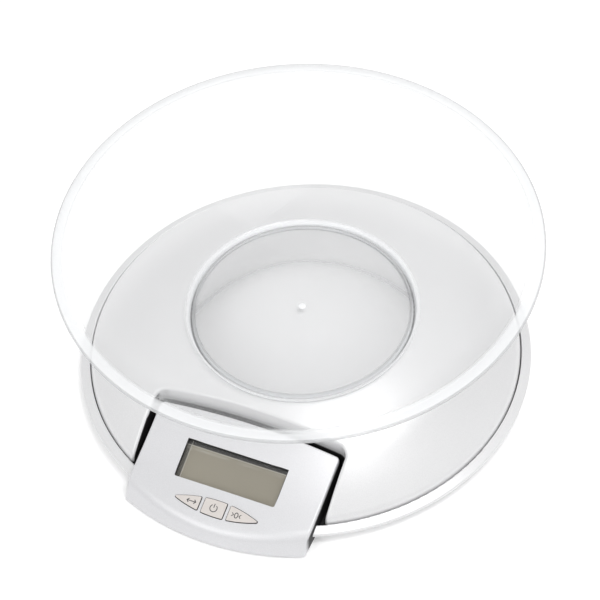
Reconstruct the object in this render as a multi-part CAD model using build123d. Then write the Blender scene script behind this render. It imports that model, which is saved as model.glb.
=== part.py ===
from build123d import *
from math import atan, cos, degrees, hypot, pi, radians, sin, tan
import os

# A round kitchen scale: a base shell with a sloping control panel at its front, a domed weighing
# platform that a load cell carries, and a clear bowl that lifts off. Millimetres, +Z up. The origin
# is on the table, on the scale's vertical axis, and the panel faces -Y.

# --- Base -------------------------------------------------------------------------------------
BASE_R = 100.0  # outer edge of the lip
BASE_UNDERSIDE_Z = 1.5  # the rubber feet hold the underside this far off the table
BASE_FLOOR_T = 2.0
LIP_W = 4.2  # from the lip's inner wall to its outer edge
LIP_TOP_Z = 8.2
LIP_EDGE_Z = 5.6  # height of the lip's widest line
LIP_BEAD_H = 0.8  # flat band at the widest line
LIP_BEAD_CUT = 0.4  # chamfer above and below it
BASE_TUCK = 6.0  # how far the underside is smaller than the lip, in radius
RIB_COUNT = 8
PANEL_BEARING = 270  # where no rib stands
RIB_T = 1.4
RIB_H = 1.6
RIB_LENGTH = 16.0
FOOT_R = 6.0
FOOT_H = 2.0
FOOT_CIRCLE_R = 80.0
FOOT_COUNT = 4
FOOT_ANGLE = 45  # of the first foot, from +X

# --- Weighing platform ------------------------------------------------------------------------
SEAM_GAP = 0.5  # between the platform and the lip, in radius
PLATEAU_R = 50.0
PLATEAU_Z = 34.5
PLATFORM_T = 2.2
DOME_START_SLOPE = 15.0  # degrees below level where the dome leaves the plateau
DOME_EDGE_Z = 9.2  # where the dome meets the seam
DOME_ROLL_R = 5.0
SKIRT_BOTTOM_Z = 6.3
SEAT_H = 0.8  # raised disc that centres the bowl's foot
NOTCH_HALF_W = 45.0
NOTCH_DEPTH = 44.5  # from the lip's outer edge to the back wall
NOTCH_CORNER_R = 4.0
NOTCH_RIM_R = 1.2
NOTCH_WALL_T = 2.0
NOTCH_WALL_BOTTOM_Z = 9.0
PRESS_TRAVEL = 0.6  # the load cell's deflection at full load

# --- Bowl -------------------------------------------------------------------------------------
BOWL_RIM_R = 106.2
BOWL_RIM_Z = 81.5
BOWL_T = 2.0
BOWL_FLANGE_W = 4.7
BOWL_FLANGE_DROOP = 0.8
BOWL_FOOT_R = 50.0
BOWL_FOOT_T = 2.2
BOWL_FOOT_H = 2.6
BOWL_START_SLOPE = 18.0  # degrees above level where the wall leaves the foot
BOWL_SEAT_GAP = 0.4
GATE_MARK_R = 1.4
GATE_MARK_H = 0.5

# --- Control panel ----------------------------------------------------------------------------
PANEL_HALF_W = 42.4
PANEL_DEPTH = 42.0  # from the lip's outer edge to the panel's rear edge
PANEL_T = 1.8
PANEL_SLOPE = 0.41  # rise of the top per unit of depth at the window's centre
PANEL_SWEEP = 0.0043  # change of that rise per millimetre towards the rear
PANEL_CROWN = 0.0024  # how the rear edge falls away, times x squared
FASCIA_OVERHANG = 7.5  # how far the foot of the front face stands out from the lip
FASCIA_RAKE = 0.55  # how much its radius shrinks per millimetre of height
FASCIA_ROLL_R = 7.0
PANEL_EDGE_R = 0.9
PANEL_CORNER_R = 2.0
PANEL_GAP = 0.3  # from the cover's sides to the base lip
BOSS_R = 3.0
BOSS_X = 36.6
BOSS_INSETS = (34.0, 14.0)  # from the lip's outer edge
PANEL_SCREW_R = 1.25
PANEL_SCREW_LENGTH = 7.0
PANEL_SCREW_HEAD_R = 2.5
PANEL_SCREW_HEAD_H = 0.9

# --- Display ----------------------------------------------------------------------------------
WINDOW_INSET = 20.75  # from the lip's outer edge to the window's centre
WINDOW_Z = 16.3  # the panel's surface at the window's centre
WINDOW_W = 47.0
WINDOW_H = 17.5
WINDOW_CORNER_R = 0.8
SEAT_DEPTH = 2.2  # from the panel's surface to the lens
LENS_T = 1.0
LENS_MARGIN = 1.7
LCD_GAP = 0.1
LCD_T = 1.8
LCD_W = 51.0
LCD_H = 20.4
STRIP_T = 1.1
STRIP_W = 1.8
STRIP_LENGTH = 46.0
FRAME_WALL = 1.2
FRAME_GAP = 0.2
BOARD_T = 1.2
BOARD_HALF_W = 33.0
BOARD_FRONT = -11.0  # board edges, along the slope from the window's centre
BOARD_REAR = 15.5
BOARD_GAP = 0.05
POST_R = 2.2
POST_U = 30.3
POST_VS = (-8.0, 12.5)
BOARD_SCREW_R = 0.9
BOARD_SCREW_LENGTH = 3.2
BOARD_SCREW_HEAD_R = 1.8
BOARD_SCREW_HEAD_H = 0.8
CHIP_SIZE = (11.0, 8.0, 1.4)
CHIP_PLACE = (12.0, 4.0)
DRIVER_SIZE = (5.0, 4.0, 1.2)
DRIVER_PLACE = (-14.0, 4.0)

# --- Buttons ----------------------------------------------------------------------------------
KEY_INSET = 4.5  # from the lip's outer edge to the row of buttons
EYE_HALF_LENGTH = 19.9
EYE_HALF_H = 3.7
LEFT_WEB = (-7.9, -6.1)  # the bars between the buttons, from the panel's middle
RIGHT_WEB = (4.0, 5.8)
KEY_GAP = 0.3  # round each cap, in the panel's openings
KEY_PROUD = 0.7
KEY_FLANGE = 0.6
KEY_FLANGE_T = 0.7
KEY_TOP_R = 0.35
KEY_CORNER_R = 0.4
KEY_REST_GAP = 0.3  # between the flange and the panel
DOME_KEY_R = 2.4
DOME_KEY_H = 1.5
KEY_BOARD_T = 1.0
KEY_BOARD_HALF_W = 21.5
KEY_BOARD_HALF_H = 4.4
KEY_POST_R = 1.3
KEY_POST_U = 24.0
KEY_EAR_R = 2.6
RIBBON_W = 12.0
RIBBON_T = 0.2
RIBBON_LAP = 2.0

# --- Load cell --------------------------------------------------------------------------------
CELL_LENGTH = 75.0
CELL_SIDE = 12.7
CELL_Z = 8.0
CELL_HOLES = (17.5, 32.5)  # from the middle, at each end
CELL_SCREW_R = 2.0
CELL_SCREW_GAP = 0.05
CELL_WINDOW_R = 4.6
CELL_WINDOW_HALF = 6.0
SPACER_LENGTH = 24.0
SPACER_T = 2.0
PEDESTAL_MARGIN = 1.0
CELL_SCREW_HEAD_R = 3.5
CELL_SCREW_HEAD_H = 2.0
CELL_SCREW_BITE = 7.0  # depth that the screws reach into the cell
GAUGE_LENGTH = 14.0
GAUGE_W = 9.0
GAUGE_T = 0.9
STOP_R = 2.0
STOP_X = 25.0
STOP_MARGIN = 0.05  # beyond the platform's travel

# --- Platform bracket -------------------------------------------------------------------------
BRACKET_T = 2.0
BRACKET_ARM_W = 16.0
BRACKET_POST_X = 34.0
BRACKET_POST_Y = 26.0
BRACKET_CORNER_R = 5.0
POST_OUTER_R = 4.0
BRACKET_SCREW_R = 1.5
BRACKET_SCREW_LENGTH = 6.0
BRACKET_SCREW_HEAD_R = 2.9
BRACKET_SCREW_HEAD_H = 1.8
ACCESS_R = 4.0

# --- Batteries --------------------------------------------------------------------------------
AAA_R = 5.25
AAA_LENGTH = 44.5
AAA_NUB_R = 1.9
AAA_NUB_H = 0.9
BAY_Y = 35.0  # middle of the battery bay
BAY_SPACE = 0.4
BAY_WALL = 1.5
SPRING_SPACE = 6.0
SPRING_WIRE_R = 0.3
SPRING_TURNS = 4
SPRING_BASE_R = 3.4
SPRING_TIP_R = 2.2
PLATE_T = 0.4
PLATE_HALF_W = 4.4
DOOR_T = 1.6
DOOR_GAP = 0.3
DOOR_LID_GAP = 0.2
DOOR_TRAVEL = 8.0
TONGUE_T = 0.7
TONGUE_REACH = 1.3
TONGUE_LENGTH = 6.0
TONGUE_STARTS = (3.0, 15.0)  # from the door's front edge
RAIL_W = 3.2
RAIL_LEDGE_T = 0.8
GRIP_COUNT = 4
GRIP_PITCH = 2.0
GRIP_W = 0.8
GRIP_DEPTH = 0.4
GRIP_HALF_LENGTH = 8.0

# --- Leads ------------------------------------------------------------------------------------
LEAD_R = 0.8
ARC_SHARE = 0.45  # of a run, which its arcs may take up
BOARD_LEAD_U = 8.0
BOARD_LEAD_V = 13.0
BOARD_LEAD_RUN = 5.5
CELL_LEAD_X = -10.0
CELL_LEAD_RISE = 2.5
BATTERY_LEAD_X = 13.0
MOULD_GAP = 0.6
CELL_LEAD_FLOOR = ((-9.6, -19.5, 7.4), (-8.8, -29.0, 5.1), (-8.2, -43.0, 5.2), (-8.0, -53.5, 5.1),
                   (-8.0, -60.0, 5.7))
BATTERY_LEAD_FLOOR = ((12.4, 5.0, 5.1), (11.0, -10.0, 5.1), (10.4, -25.0, 5.2), (9.0, -40.0, 5.1),
                      (8.0, -53.5, 5.1), (8.0, -60.0, 5.7))
SLOT_HALF_W = 15.0
SLOT_TOP_Z = 8.0

DRIVE_SHARE = 0.8  # a screw's drive, as a share of its shank
HEX_SIDES = 6

HOLE_GAP = 0.2  # round a screw where it passes through
THREAD_GAP = 0.04  # round a screw where it bites
HEAD_GAP = 0.3
TOUCH_GAP = 0.1  # between stacked pieces that only locate each other

# --- Worked out from the above ----------------------------------------------------------------
FLOOR_Z = BASE_UNDERSIDE_Z + BASE_FLOOR_T
LIP_INNER_R = BASE_R - LIP_W
PLATFORM_R = LIP_INNER_R - SEAM_GAP
BASE_FOOT_R = BASE_R - BASE_TUCK
NOTCH_BACK_Y = NOTCH_DEPTH - BASE_R
PANEL_REAR_Y = PANEL_DEPTH - BASE_R
PANEL_FLAT_Y = -BASE_R  # the panel's crown dies out here
FASCIA_R = BASE_R + FASCIA_OVERHANG
BOSS_YS = [inset - BASE_R for inset in BOSS_INSETS]
WINDOW_Y = WINDOW_INSET - BASE_R
KEY_Y = KEY_INSET - BASE_R
PANEL_FLOOR_R = BASE_FOOT_R - PANEL_T
WINDOW_ANGLE = degrees(atan(PANEL_SLOPE))
CELL_TOP_Z = CELL_Z + CELL_SIDE
STOP_GAP = PRESS_TRAVEL + STOP_MARGIN
BRACKET_Z = CELL_TOP_Z + SPACER_T
BRACKET_TOP_Z = BRACKET_Z + BRACKET_T
LCD_DEPTH = SEAT_DEPTH + LENS_T + LCD_GAP
STRIP_DEPTH = LCD_DEPTH + LCD_T + BOARD_GAP
BOARD_DEPTH = STRIP_DEPTH + STRIP_T + BOARD_GAP
BAY_HALF_L = AAA_LENGTH / 2 + SPRING_SPACE / 2 + PLATE_T
BAY_HALF_W = AAA_R * 2 + BAY_SPACE * 1.5
AAA_Y = AAA_R + BAY_SPACE / 2
AAA_Z = BASE_UNDERSIDE_Z + DOOR_T + BAY_SPACE + AAA_R
BAY_ROOF_Z = AAA_Z + AAA_R + BAY_SPACE
DOOR_TOP_Z = BASE_UNDERSIDE_Z + DOOR_T
LID_Z = DOOR_TOP_Z + DOOR_LID_GAP
DOOR_HALF_L = BAY_HALF_L + BAY_WALL / 2
DOOR_HALF_W = BAY_HALF_W + BAY_WALL / 2
BIG = 400.0  # beyond every side of the scale
REACH = 10.0  # how far a cutting solid runs past the surface it cuts
KEY_SPANS = {
    "left": (-BIG, LEFT_WEB[0]),
    "middle": (LEFT_WEB[1], RIGHT_WEB[0]),
    "right": (RIGHT_WEB[1], BIG),
}


def panel_height(x, y):
    """Height of the panel's top: a gentle sweep along y, with a crown across x that dies out in front."""
    depth = y - WINDOW_Y
    crown = PANEL_CROWN * (y - PANEL_FLAT_Y) / (PANEL_REAR_Y - PANEL_FLAT_Y)
    return WINDOW_Z + PANEL_SLOPE * depth + PANEL_SWEEP * depth**2 / 2 - crown * x**2


KEY_Z = panel_height(0, KEY_Y)
KEY_ANGLE = degrees(atan(PANEL_SLOPE + PANEL_SWEEP * (KEY_Y - WINDOW_Y)))
WINDOW_PLANE = Plane(origin=(0, WINDOW_Y, WINDOW_Z), x_dir=(1, 0, 0),
                     z_dir=(0, -sin(radians(WINDOW_ANGLE)), cos(radians(WINDOW_ANGLE))))
KEY_PLANE = Plane(origin=(0, KEY_Y, KEY_Z), x_dir=(1, 0, 0),
                  z_dir=(0, -sin(radians(KEY_ANGLE)), cos(radians(KEY_ANGLE))))


# --- Helpers ----------------------------------------------------------------------------------
def block(x0, x1, y0, y1, z0, z1):
    """A box between two corners."""
    return Pos((x0 + x1) / 2, (y0 + y1) / 2, (z0 + z1) / 2) * Box(x1 - x0, y1 - y0, z1 - z0)


def rod(x, y, z0, z1, radius):
    """An upright cylinder."""
    return Pos(x, y, (z0 + z1) / 2) * Cylinder(radius, z1 - z0)


def plate(plane, u0, u1, v0, v1, depth, thickness):
    """A flat piece that lies at a depth under a sloping plane."""
    middle = Pos((u0 + u1) / 2, (v0 + v1) / 2, -depth - thickness / 2)
    return plane * (middle * Box(u1 - u0, v1 - v0, thickness))


def plane_rod(plane, u, v, depth0, depth1, radius):
    """A cylinder square to a sloping plane, between two depths under it."""
    return plane * (Pos(u, v, -(depth0 + depth1) / 2) * Cylinder(radius, depth1 - depth0))


def arc_circle(start, end, slope):
    """Centre and radius of the arc that leaves start at a slope in degrees and reaches end."""
    normal = Vector(-sin(radians(slope)), cos(radians(slope)))
    chord = Vector(*end) - Vector(*start)
    radius = chord.length**2 / (2 * chord.dot(normal))
    return Vector(*start) + normal * radius, abs(radius)


def point_at_radius(circle, r, above):
    """The point of a meridian circle at radius r from the axis, on its upper or lower side."""
    centre, radius = circle
    height = (radius**2 - (r - centre.X) ** 2) ** 0.5
    return Vector(r, centre.Y + (height if above else -height))


def point_at_height(circle, z):
    """The point of a meridian circle at height z, on its outer side."""
    centre, radius = circle
    return Vector(centre.X + (radius**2 - (z - centre.Y) ** 2) ** 0.5, z)


def arc_on(circle, start, end):
    """The shorter arc of a circle between two of its points."""
    centre, radius = circle
    middle = ((start - centre) + (end - centre)).normalized() * radius + centre
    return ThreePointArc(start, middle, end)


def cut_hex(radius, height):
    """A hexagonal prism for a screw's drive."""
    return extrude(RegularPolygon(radius, HEX_SIDES), height)


def screw(radius, length, head_r, head_h, drive_r, drive_h):
    """A screw that points up from z = 0, with its head below."""
    body = Pos(0, 0, length / 2) * Cylinder(radius, length)
    head = Pos(0, 0, -head_h / 2) * Cylinder(head_r, head_h)
    return body + head - Pos(0, 0, -head_h) * cut_hex(drive_r, drive_h)


def group(shapes):
    """Several solids as one piece."""
    return Compound([s for shape in shapes for s in shape.solids()])


# --- Platform ---------------------------------------------------------------------------------
def dome_circle():
    """The circle that the dome's outer surface follows."""
    return arc_circle((PLATEAU_R, PLATEAU_Z), (PLATFORM_R, DOME_EDGE_Z), -DOME_START_SLOPE)


def dome_roll():
    """Radius of the roll from the dome into its skirt, as large as the skirt's wall takes."""
    fall = degrees(atan((PLATEAU_Z - DOME_EDGE_Z) / (PLATFORM_R - PLATEAU_R)))
    turn = 90 - (2 * fall - DOME_START_SLOPE)
    wall = DOME_EDGE_Z - SKIRT_BOTTOM_Z - TOUCH_GAP
    return min(DOME_ROLL_R, wall / tan(radians(turn / 2)))


def dome_fill():
    """Everything under the dome's outer surface, down to the foot of its skirt."""
    circle = dome_circle()
    start = Vector(PLATEAU_R, PLATEAU_Z)
    end = Vector(PLATFORM_R, DOME_EDGE_Z)
    foot = Vector(PLATFORM_R, SKIRT_BOTTOM_Z)
    face = make_face([
        Line((0, PLATEAU_Z), start),
        arc_on(circle, start, end),
        Line(end, foot),
        Line(foot, (0, SKIRT_BOTTOM_Z)),
        Line((0, SKIRT_BOTTOM_Z), (0, PLATEAU_Z)),
    ])
    face = fillet(face.vertices().sort_by_distance((PLATFORM_R, DOME_EDGE_Z))[0], dome_roll())
    return revolve(Plane.XZ * face, Axis.Z, 360)


def dome_hollow():
    """The space inside the platform's shell."""
    centre, radius = dome_circle()
    circle = (centre, radius - PLATFORM_T)
    start = point_at_height(circle, PLATEAU_Z - PLATFORM_T)
    end = point_at_radius(circle, PLATFORM_R - PLATFORM_T, True)
    foot = Vector(PLATFORM_R - PLATFORM_T, 0)
    face = make_face([
        Line((0, start.Y), start),
        arc_on(circle, start, end),
        Line(end, foot),
        Line(foot, (0, 0)),
        Line((0, 0), (0, start.Y)),
    ])
    face = fillet(face.vertices().sort_by_distance((end.X, end.Y))[0], dome_roll() - PLATFORM_T)
    return revolve(Plane.XZ * face, Axis.Z, 360)


def notch_prism(margin):
    """The notch's outline, grown by a margin, as a tall prism."""
    half = NOTCH_HALF_W + margin
    back = NOTCH_BACK_Y + margin
    outline = Pos(0, (back - BIG / 2) / 2) * Rectangle(2 * half, back + BIG / 2)
    rear = outline.vertices().group_by(Axis.Y)[-1]
    return extrude(fillet(rear, NOTCH_CORNER_R + margin), BIG)


def notch_rim(body):
    """The edges where the notch cuts the dome's outer surface."""
    circle = dome_circle()
    found = []
    for edge in body.edges().filter_by(GeomType.BSPLINE):
        middle = edge.center()
        beside = abs(middle.X) < NOTCH_HALF_W + SEAM_GAP and middle.Y < NOTCH_BACK_Y + SEAM_GAP
        height = point_at_radius(circle, hypot(middle.X, middle.Y), True).Y
        if beside and abs(middle.Z - height) < SEAM_GAP:
            found.append(edge)
    return found


def make_platform():
    """The domed weighing platform: a shell, a wall round its notch, four posts and the bowl's seat."""
    shell = dome_fill() - dome_hollow()
    wall = (notch_prism(NOTCH_WALL_T) - notch_prism(0)) & dome_fill()
    wall -= block(-BIG, BIG, -BIG, BIG, 0, NOTCH_WALL_BOTTOM_Z)
    body = shell - notch_prism(0) + wall
    body = fillet(notch_rim(body), NOTCH_RIM_R)
    roof_z = PLATEAU_Z - PLATFORM_T
    for x in (-BRACKET_POST_X, BRACKET_POST_X):
        for y in (-BRACKET_POST_Y, BRACKET_POST_Y):
            body += rod(x, y, BRACKET_TOP_Z, roof_z + PLATFORM_T / 2, POST_OUTER_R)
            body -= rod(x, y, BRACKET_TOP_Z - 1, roof_z - HOLE_GAP, BRACKET_SCREW_R + THREAD_GAP)
    seat_r = BOWL_FOOT_R - BOWL_FOOT_T - BOWL_SEAT_GAP
    seat = rod(0, 0, PLATEAU_Z - PLATFORM_T / 2, PLATEAU_Z + SEAT_H, seat_r)
    seat = chamfer(seat.edges().group_by(Axis.Z)[-1], SEAT_H / 2)
    return body + seat


# --- Bowl -------------------------------------------------------------------------------------
def make_bowl():
    """The clear bowl: foot ring, curved wall, drooping rim flange and a gate mark in its floor."""
    foot_z = PLATEAU_Z
    floor_z = foot_z + BOWL_FOOT_H
    wall_top = Vector(BOWL_RIM_R - BOWL_FLANGE_W, BOWL_RIM_Z - BOWL_T)
    circle = arc_circle((BOWL_FOOT_R, floor_z), (wall_top.X, wall_top.Y), BOWL_START_SLOPE)
    inner = (circle[0], circle[1] - BOWL_T)
    rim_out = Vector(BOWL_RIM_R, BOWL_RIM_Z - BOWL_FLANGE_DROOP)
    inner_top = point_at_radius(inner, wall_top.X - BOWL_T, False)
    inner_floor = Vector(BOWL_FOOT_R - BOWL_T, floor_z + BOWL_T)
    inner_start = point_at_radius(inner, BOWL_FOOT_R, False)
    foot_out = Vector(BOWL_FOOT_R, floor_z)
    foot_in = Vector(BOWL_FOOT_R - BOWL_FOOT_T, floor_z)
    lip_top = Vector(wall_top.X - BOWL_T, BOWL_RIM_Z)
    under = Vector(BOWL_RIM_R, rim_out.Y - BOWL_T)
    face = make_face([
        Line((0, floor_z + BOWL_T), inner_floor),
        Line(inner_floor, inner_start),
        arc_on(inner, inner_start, inner_top),
        Line(inner_top, lip_top),
        Line(lip_top, rim_out),
        Line(rim_out, under),
        Line(under, wall_top),
        arc_on(circle, foot_out, wall_top),
        Line(foot_out, (BOWL_FOOT_R, foot_z)),
        Line((BOWL_FOOT_R, foot_z), (foot_in.X, foot_z)),
        Line((foot_in.X, foot_z), foot_in),
        Line(foot_in, (0, floor_z)),
        Line((0, floor_z), (0, floor_z + BOWL_T)),
    ])
    rounded = [
        (lip_top, BOWL_T / 2), (rim_out, BOWL_T / 3), (under, BOWL_T / 3),
        (Vector(BOWL_FOOT_R, foot_z), BOWL_T / 3), (Vector(foot_in.X, foot_z), BOWL_T / 3),
    ]
    for point, radius in rounded:
        face = fillet(face.vertices().sort_by_distance((point.X, point.Y))[0], radius)
    body = revolve(Plane.XZ * face, Axis.Z, 360)
    mark = Pos(0, 0, floor_z + BOWL_T + GATE_MARK_H / 2 - TOUCH_GAP) * Cone(
        GATE_MARK_R, GATE_MARK_R / 2, GATE_MARK_H + 2 * TOUCH_GAP)
    return body + mark


# --- Control panel ----------------------------------------------------------------------------
def under_panel_top(drop):
    """Everything under the panel's top surface lowered by a drop. The surface is a patch of degree
    two both ways, and each control point is the mixed value of panel_height at its two pairs."""
    reach_x = 2 * PANEL_HALF_W
    near, far = -FASCIA_R - PANEL_HALF_W, PANEL_REAR_Y + PANEL_HALF_W
    rows = []
    for x_a, x_b in ((-reach_x, -reach_x), (-reach_x, reach_x), (reach_x, reach_x)):
        row = []
        for y_a, y_b in ((near, near), (near, far), (far, far)):
            middle = (y_a + y_b) / 2
            fade = (middle - PANEL_FLAT_Y) / (PANEL_REAR_Y - PANEL_FLAT_Y)
            sweep_part = PANEL_SWEEP * (y_a - WINDOW_Y) * (y_b - WINDOW_Y) / 2
            height = WINDOW_Z + PANEL_SLOPE * (middle - WINDOW_Y) + sweep_part
            row.append(((x_a + x_b) / 2, middle, height - PANEL_CROWN * fade * x_a * x_b - drop))
        rows.append(row)
    return extrude(Face.make_bezier_surface(rows), BIG / 4, dir=(0, 0, -1))


def fascia_cone(inset):
    """The cone that the panel's front face follows, drawn in by a wall."""
    low = BASE_UNDERSIDE_Z
    high = PLATEAU_Z
    wall = inset * hypot(1, FASCIA_RAKE)
    foot = FASCIA_R - wall
    return Pos(0, 0, (low + high) / 2) * Cone(foot, foot - FASCIA_RAKE * (high - low), high - low)


def panel_block(inset):
    """The panel's body as a solid: its outline and top drawn in by a wall."""
    half = PANEL_HALF_W - inset
    drop = inset / cos(radians(WINDOW_ANGLE))
    outline = block(-half, half, -BIG / 2, PANEL_REAR_Y - inset, BASE_UNDERSIDE_Z, PLATEAU_Z)
    return fascia_cone(inset) & outline & under_panel_top(drop)


def panel_skin():
    """The panel's outer form with its front roll and its rounded edges."""
    body = panel_block(0)
    crease = body.edges().sort_by_distance((0, -FASCIA_R, KEY_Z))[0]
    body = fillet(crease, FASCIA_ROLL_R)
    rear = body.edges().filter_by(Axis.Z).group_by(Axis.Y)[-1]
    body = fillet(rear, PANEL_CORNER_R)
    curved = body.edges().filter_by(lambda e: e.geom_type != GeomType.LINE and e.center().Z > FLOOR_Z)
    rims = curved.filter_by(lambda e: abs(e.center().X) > PANEL_HALF_W - PANEL_CORNER_R
                            or e.center().Y > PANEL_REAR_Y - PANEL_CORNER_R)
    return fillet(rims, PANEL_EDGE_R)


def window_opening():
    """The opening for the display, square to the panel's slope."""
    outline = fillet(Rectangle(WINDOW_W, WINDOW_H).vertices(), WINDOW_CORNER_R)
    return WINDOW_PLANE * (Pos(0, 0, -REACH) * extrude(outline, 2 * REACH))


def frame_half_sizes():
    """Half width and half height of the collar round the lens and the LCD."""
    half_w = LCD_W / 2 + FRAME_GAP + FRAME_WALL
    half_h = WINDOW_H / 2 + LENS_MARGIN + FRAME_GAP + FRAME_WALL
    return half_w, half_h


def eye_outline(margin):
    """The lens-shaped outline that holds the three buttons, grown by a margin."""
    radius = (EYE_HALF_LENGTH**2 + EYE_HALF_H**2) / (2 * EYE_HALF_H)
    offset_v = radius - EYE_HALF_H
    return (Pos(0, -offset_v) * Circle(radius + margin)) & (Pos(0, offset_v) * Circle(radius + margin))


def key_middle(name):
    """Where a button is pressed: the middle of its span."""
    left, right = KEY_SPANS[name]
    return (max(left, -EYE_HALF_LENGTH) + min(right, EYE_HALF_LENGTH)) / 2


def key_outline(name, margin):
    """One button's outline: a slice of the eye with rounded corners, grown by a margin."""
    left, right = KEY_SPANS[name]
    slab = Pos((left + right) / 2, 0) * Rectangle(right - left + 2 * margin, 4 * EYE_HALF_H)
    outline = eye_outline(margin) & slab
    return fillet(outline.vertices(), KEY_CORNER_R + margin)


def key_solid(name, margin, top, bottom):
    """A button's outline raised between two heights over the panel's surface."""
    return KEY_PLANE * (Pos(0, 0, bottom) * extrude(key_outline(name, margin), top - bottom))


def make_panel_cover():
    """The panel's cover: a shell with the window, the button openings, bosses and posts."""
    skin = panel_skin()
    half_w, half_h = frame_half_sizes()
    inner = panel_block(PANEL_T)
    body = skin - inner
    pocket_w, pocket_h = half_w + TOUCH_GAP, half_h + TOUCH_GAP
    body -= plate(WINDOW_PLANE, -pocket_w, pocket_w, -pocket_h, pocket_h, SEAT_DEPTH, 2 * REACH)
    body += plate(WINDOW_PLANE, -half_w, half_w, -half_h, half_h, -REACH, REACH + SEAT_DEPTH) & skin
    for x in (-BOSS_X, BOSS_X):
        for y in BOSS_YS:
            body += rod(x, y, FLOOR_Z, PLATEAU_Z, BOSS_R) & skin
    for u in (-POST_U, POST_U):
        for v in POST_VS:
            body += plane_rod(WINDOW_PLANE, u, v, 0, BOARD_DEPTH, POST_R) & skin
    for u in (-KEY_POST_U, KEY_POST_U):
        body += plane_rod(KEY_PLANE, u, 0, 0, key_board_depth(), KEY_POST_R) & skin
    body -= window_opening()
    for name in KEY_SPANS:
        body -= key_solid(name, KEY_GAP, REACH, -SEAT_DEPTH)
    for x in (-BOSS_X, BOSS_X):
        for y in BOSS_YS:
            tip = panel_screw_seat() + PANEL_SCREW_LENGTH + HOLE_GAP
            body -= rod(x, y, 0, tip, PANEL_SCREW_R + THREAD_GAP)
    for u in (-POST_U, POST_U):
        for v in POST_VS:
            tip = BOARD_DEPTH + BOARD_T - BOARD_SCREW_LENGTH - HOLE_GAP
            body -= plane_rod(WINDOW_PLANE, u, v, tip, BOARD_DEPTH + BOARD_T, BOARD_SCREW_R + THREAD_GAP)
    body -= rod(0, 0, 0, FLOOR_Z, PANEL_FLOOR_R + TOUCH_GAP)
    return body - block(-SLOT_HALF_W, SLOT_HALF_W, PANEL_REAR_Y - 2 * PANEL_T, 0, 0, SLOT_TOP_Z)


def panel_screw_seat():
    """Height of the face that the panel screws' heads press on."""
    return BASE_UNDERSIDE_Z + PANEL_SCREW_HEAD_H + HOLE_GAP


def key_dome_depth():
    """Depth of the rubber domes' tops under the panel's surface."""
    return PANEL_T + KEY_REST_GAP + KEY_FLANGE_T + TOUCH_GAP / 2


def key_board_depth():
    """Depth of the key board's top under the panel's surface."""
    return key_dome_depth() + DOME_KEY_H


def make_button(name):
    """One button cap: a slice of the eye with a soft top edge and a flange that keeps it in."""
    flange_top = -PANEL_T - KEY_REST_GAP
    cap = key_solid(name, 0, KEY_PROUD, flange_top)
    crown = (KEY_PLANE * Pos(key_middle(name), 0, KEY_PROUD)).position
    top = cap.faces().sort_by_distance(crown)[0]
    cap = fillet(top.edges(), KEY_TOP_R)
    return cap + key_solid(name, KEY_FLANGE, flange_top, flange_top - KEY_FLANGE_T)


# --- Base -------------------------------------------------------------------------------------
def base_dish():
    """The base's floor, and round it the lip with its chamfered bead, cut away where the panel stands."""
    inner_r = PANEL_FLOOR_R - BASE_FLOOR_T
    edge = [Vector(BASE_R - LIP_BEAD_CUT, LIP_EDGE_Z - LIP_BEAD_H / 2 - LIP_BEAD_CUT),
            Vector(BASE_R, LIP_EDGE_Z - LIP_BEAD_H / 2),
            Vector(BASE_R, LIP_EDGE_Z + LIP_BEAD_H / 2),
            Vector(BASE_R - LIP_BEAD_CUT, LIP_EDGE_Z + LIP_BEAD_H / 2 + LIP_BEAD_CUT)]
    crest = Vector(LIP_INNER_R, LIP_TOP_Z)
    corners = [(inner_r, BASE_UNDERSIDE_Z), (BASE_FOOT_R, BASE_UNDERSIDE_Z), *edge, crest,
               (LIP_INNER_R, FLOOR_Z), (inner_r, FLOOR_Z)]
    face = make_face(Polyline(*corners, close=True))
    face = fillet(face.vertices().sort_by_distance((crest.X, crest.Y))[0], SEAM_GAP)
    ring = revolve(Plane.XZ * face, Axis.Z, 360)
    half = PANEL_HALF_W + PANEL_GAP
    ring -= block(-half, half, -BIG, -PANEL_HALF_W, 0, BIG)
    return rod(0, 0, BASE_UNDERSIDE_Z, FLOOR_Z, PANEL_FLOOR_R) + ring


def panel_tab():
    """The floor under the panel, which reaches out to just inside the cover's walls."""
    return panel_block(PANEL_T + HOLE_GAP) & block(-BIG, BIG, -BIG, 0, 0, FLOOR_Z)


def foot_places():
    """Centres of the four rubber feet."""
    return [Pos(FOOT_CIRCLE_R * cos(radians(a)), FOOT_CIRCLE_R * sin(radians(a)))
            for a in range(FOOT_ANGLE, 360, 360 // FOOT_COUNT)]


def bay_block(grow, z0, z1):
    """The battery bay's outline, grown by a wall, between two heights."""
    length, width = BAY_HALF_L + grow, BAY_HALF_W + grow
    return block(-length, length, BAY_Y - width, BAY_Y + width, z0, z1)


def door_run(gap, z0, z1):
    """The space that the door's plate needs as it slides open."""
    half = DOOR_HALF_L + gap
    front = BAY_Y - DOOR_HALF_W - gap
    rear = BAY_Y + DOOR_HALF_W + DOOR_TRAVEL + gap
    return block(-half, half, front, rear, z0, z1)


def tongue(side, start, gap):
    """A tongue on one side of the door, or with a gap, the notch that it drops out through."""
    inner = side * (DOOR_HALF_L - 1)
    outer = side * (DOOR_HALF_L + TONGUE_REACH + gap)
    y0 = BAY_Y - DOOR_HALF_W + start
    low, high = min(inner, outer), max(inner, outer)
    return block(low, high, y0 - gap, y0 + TONGUE_LENGTH + gap, DOOR_TOP_Z - TONGUE_T, DOOR_TOP_Z)


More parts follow.
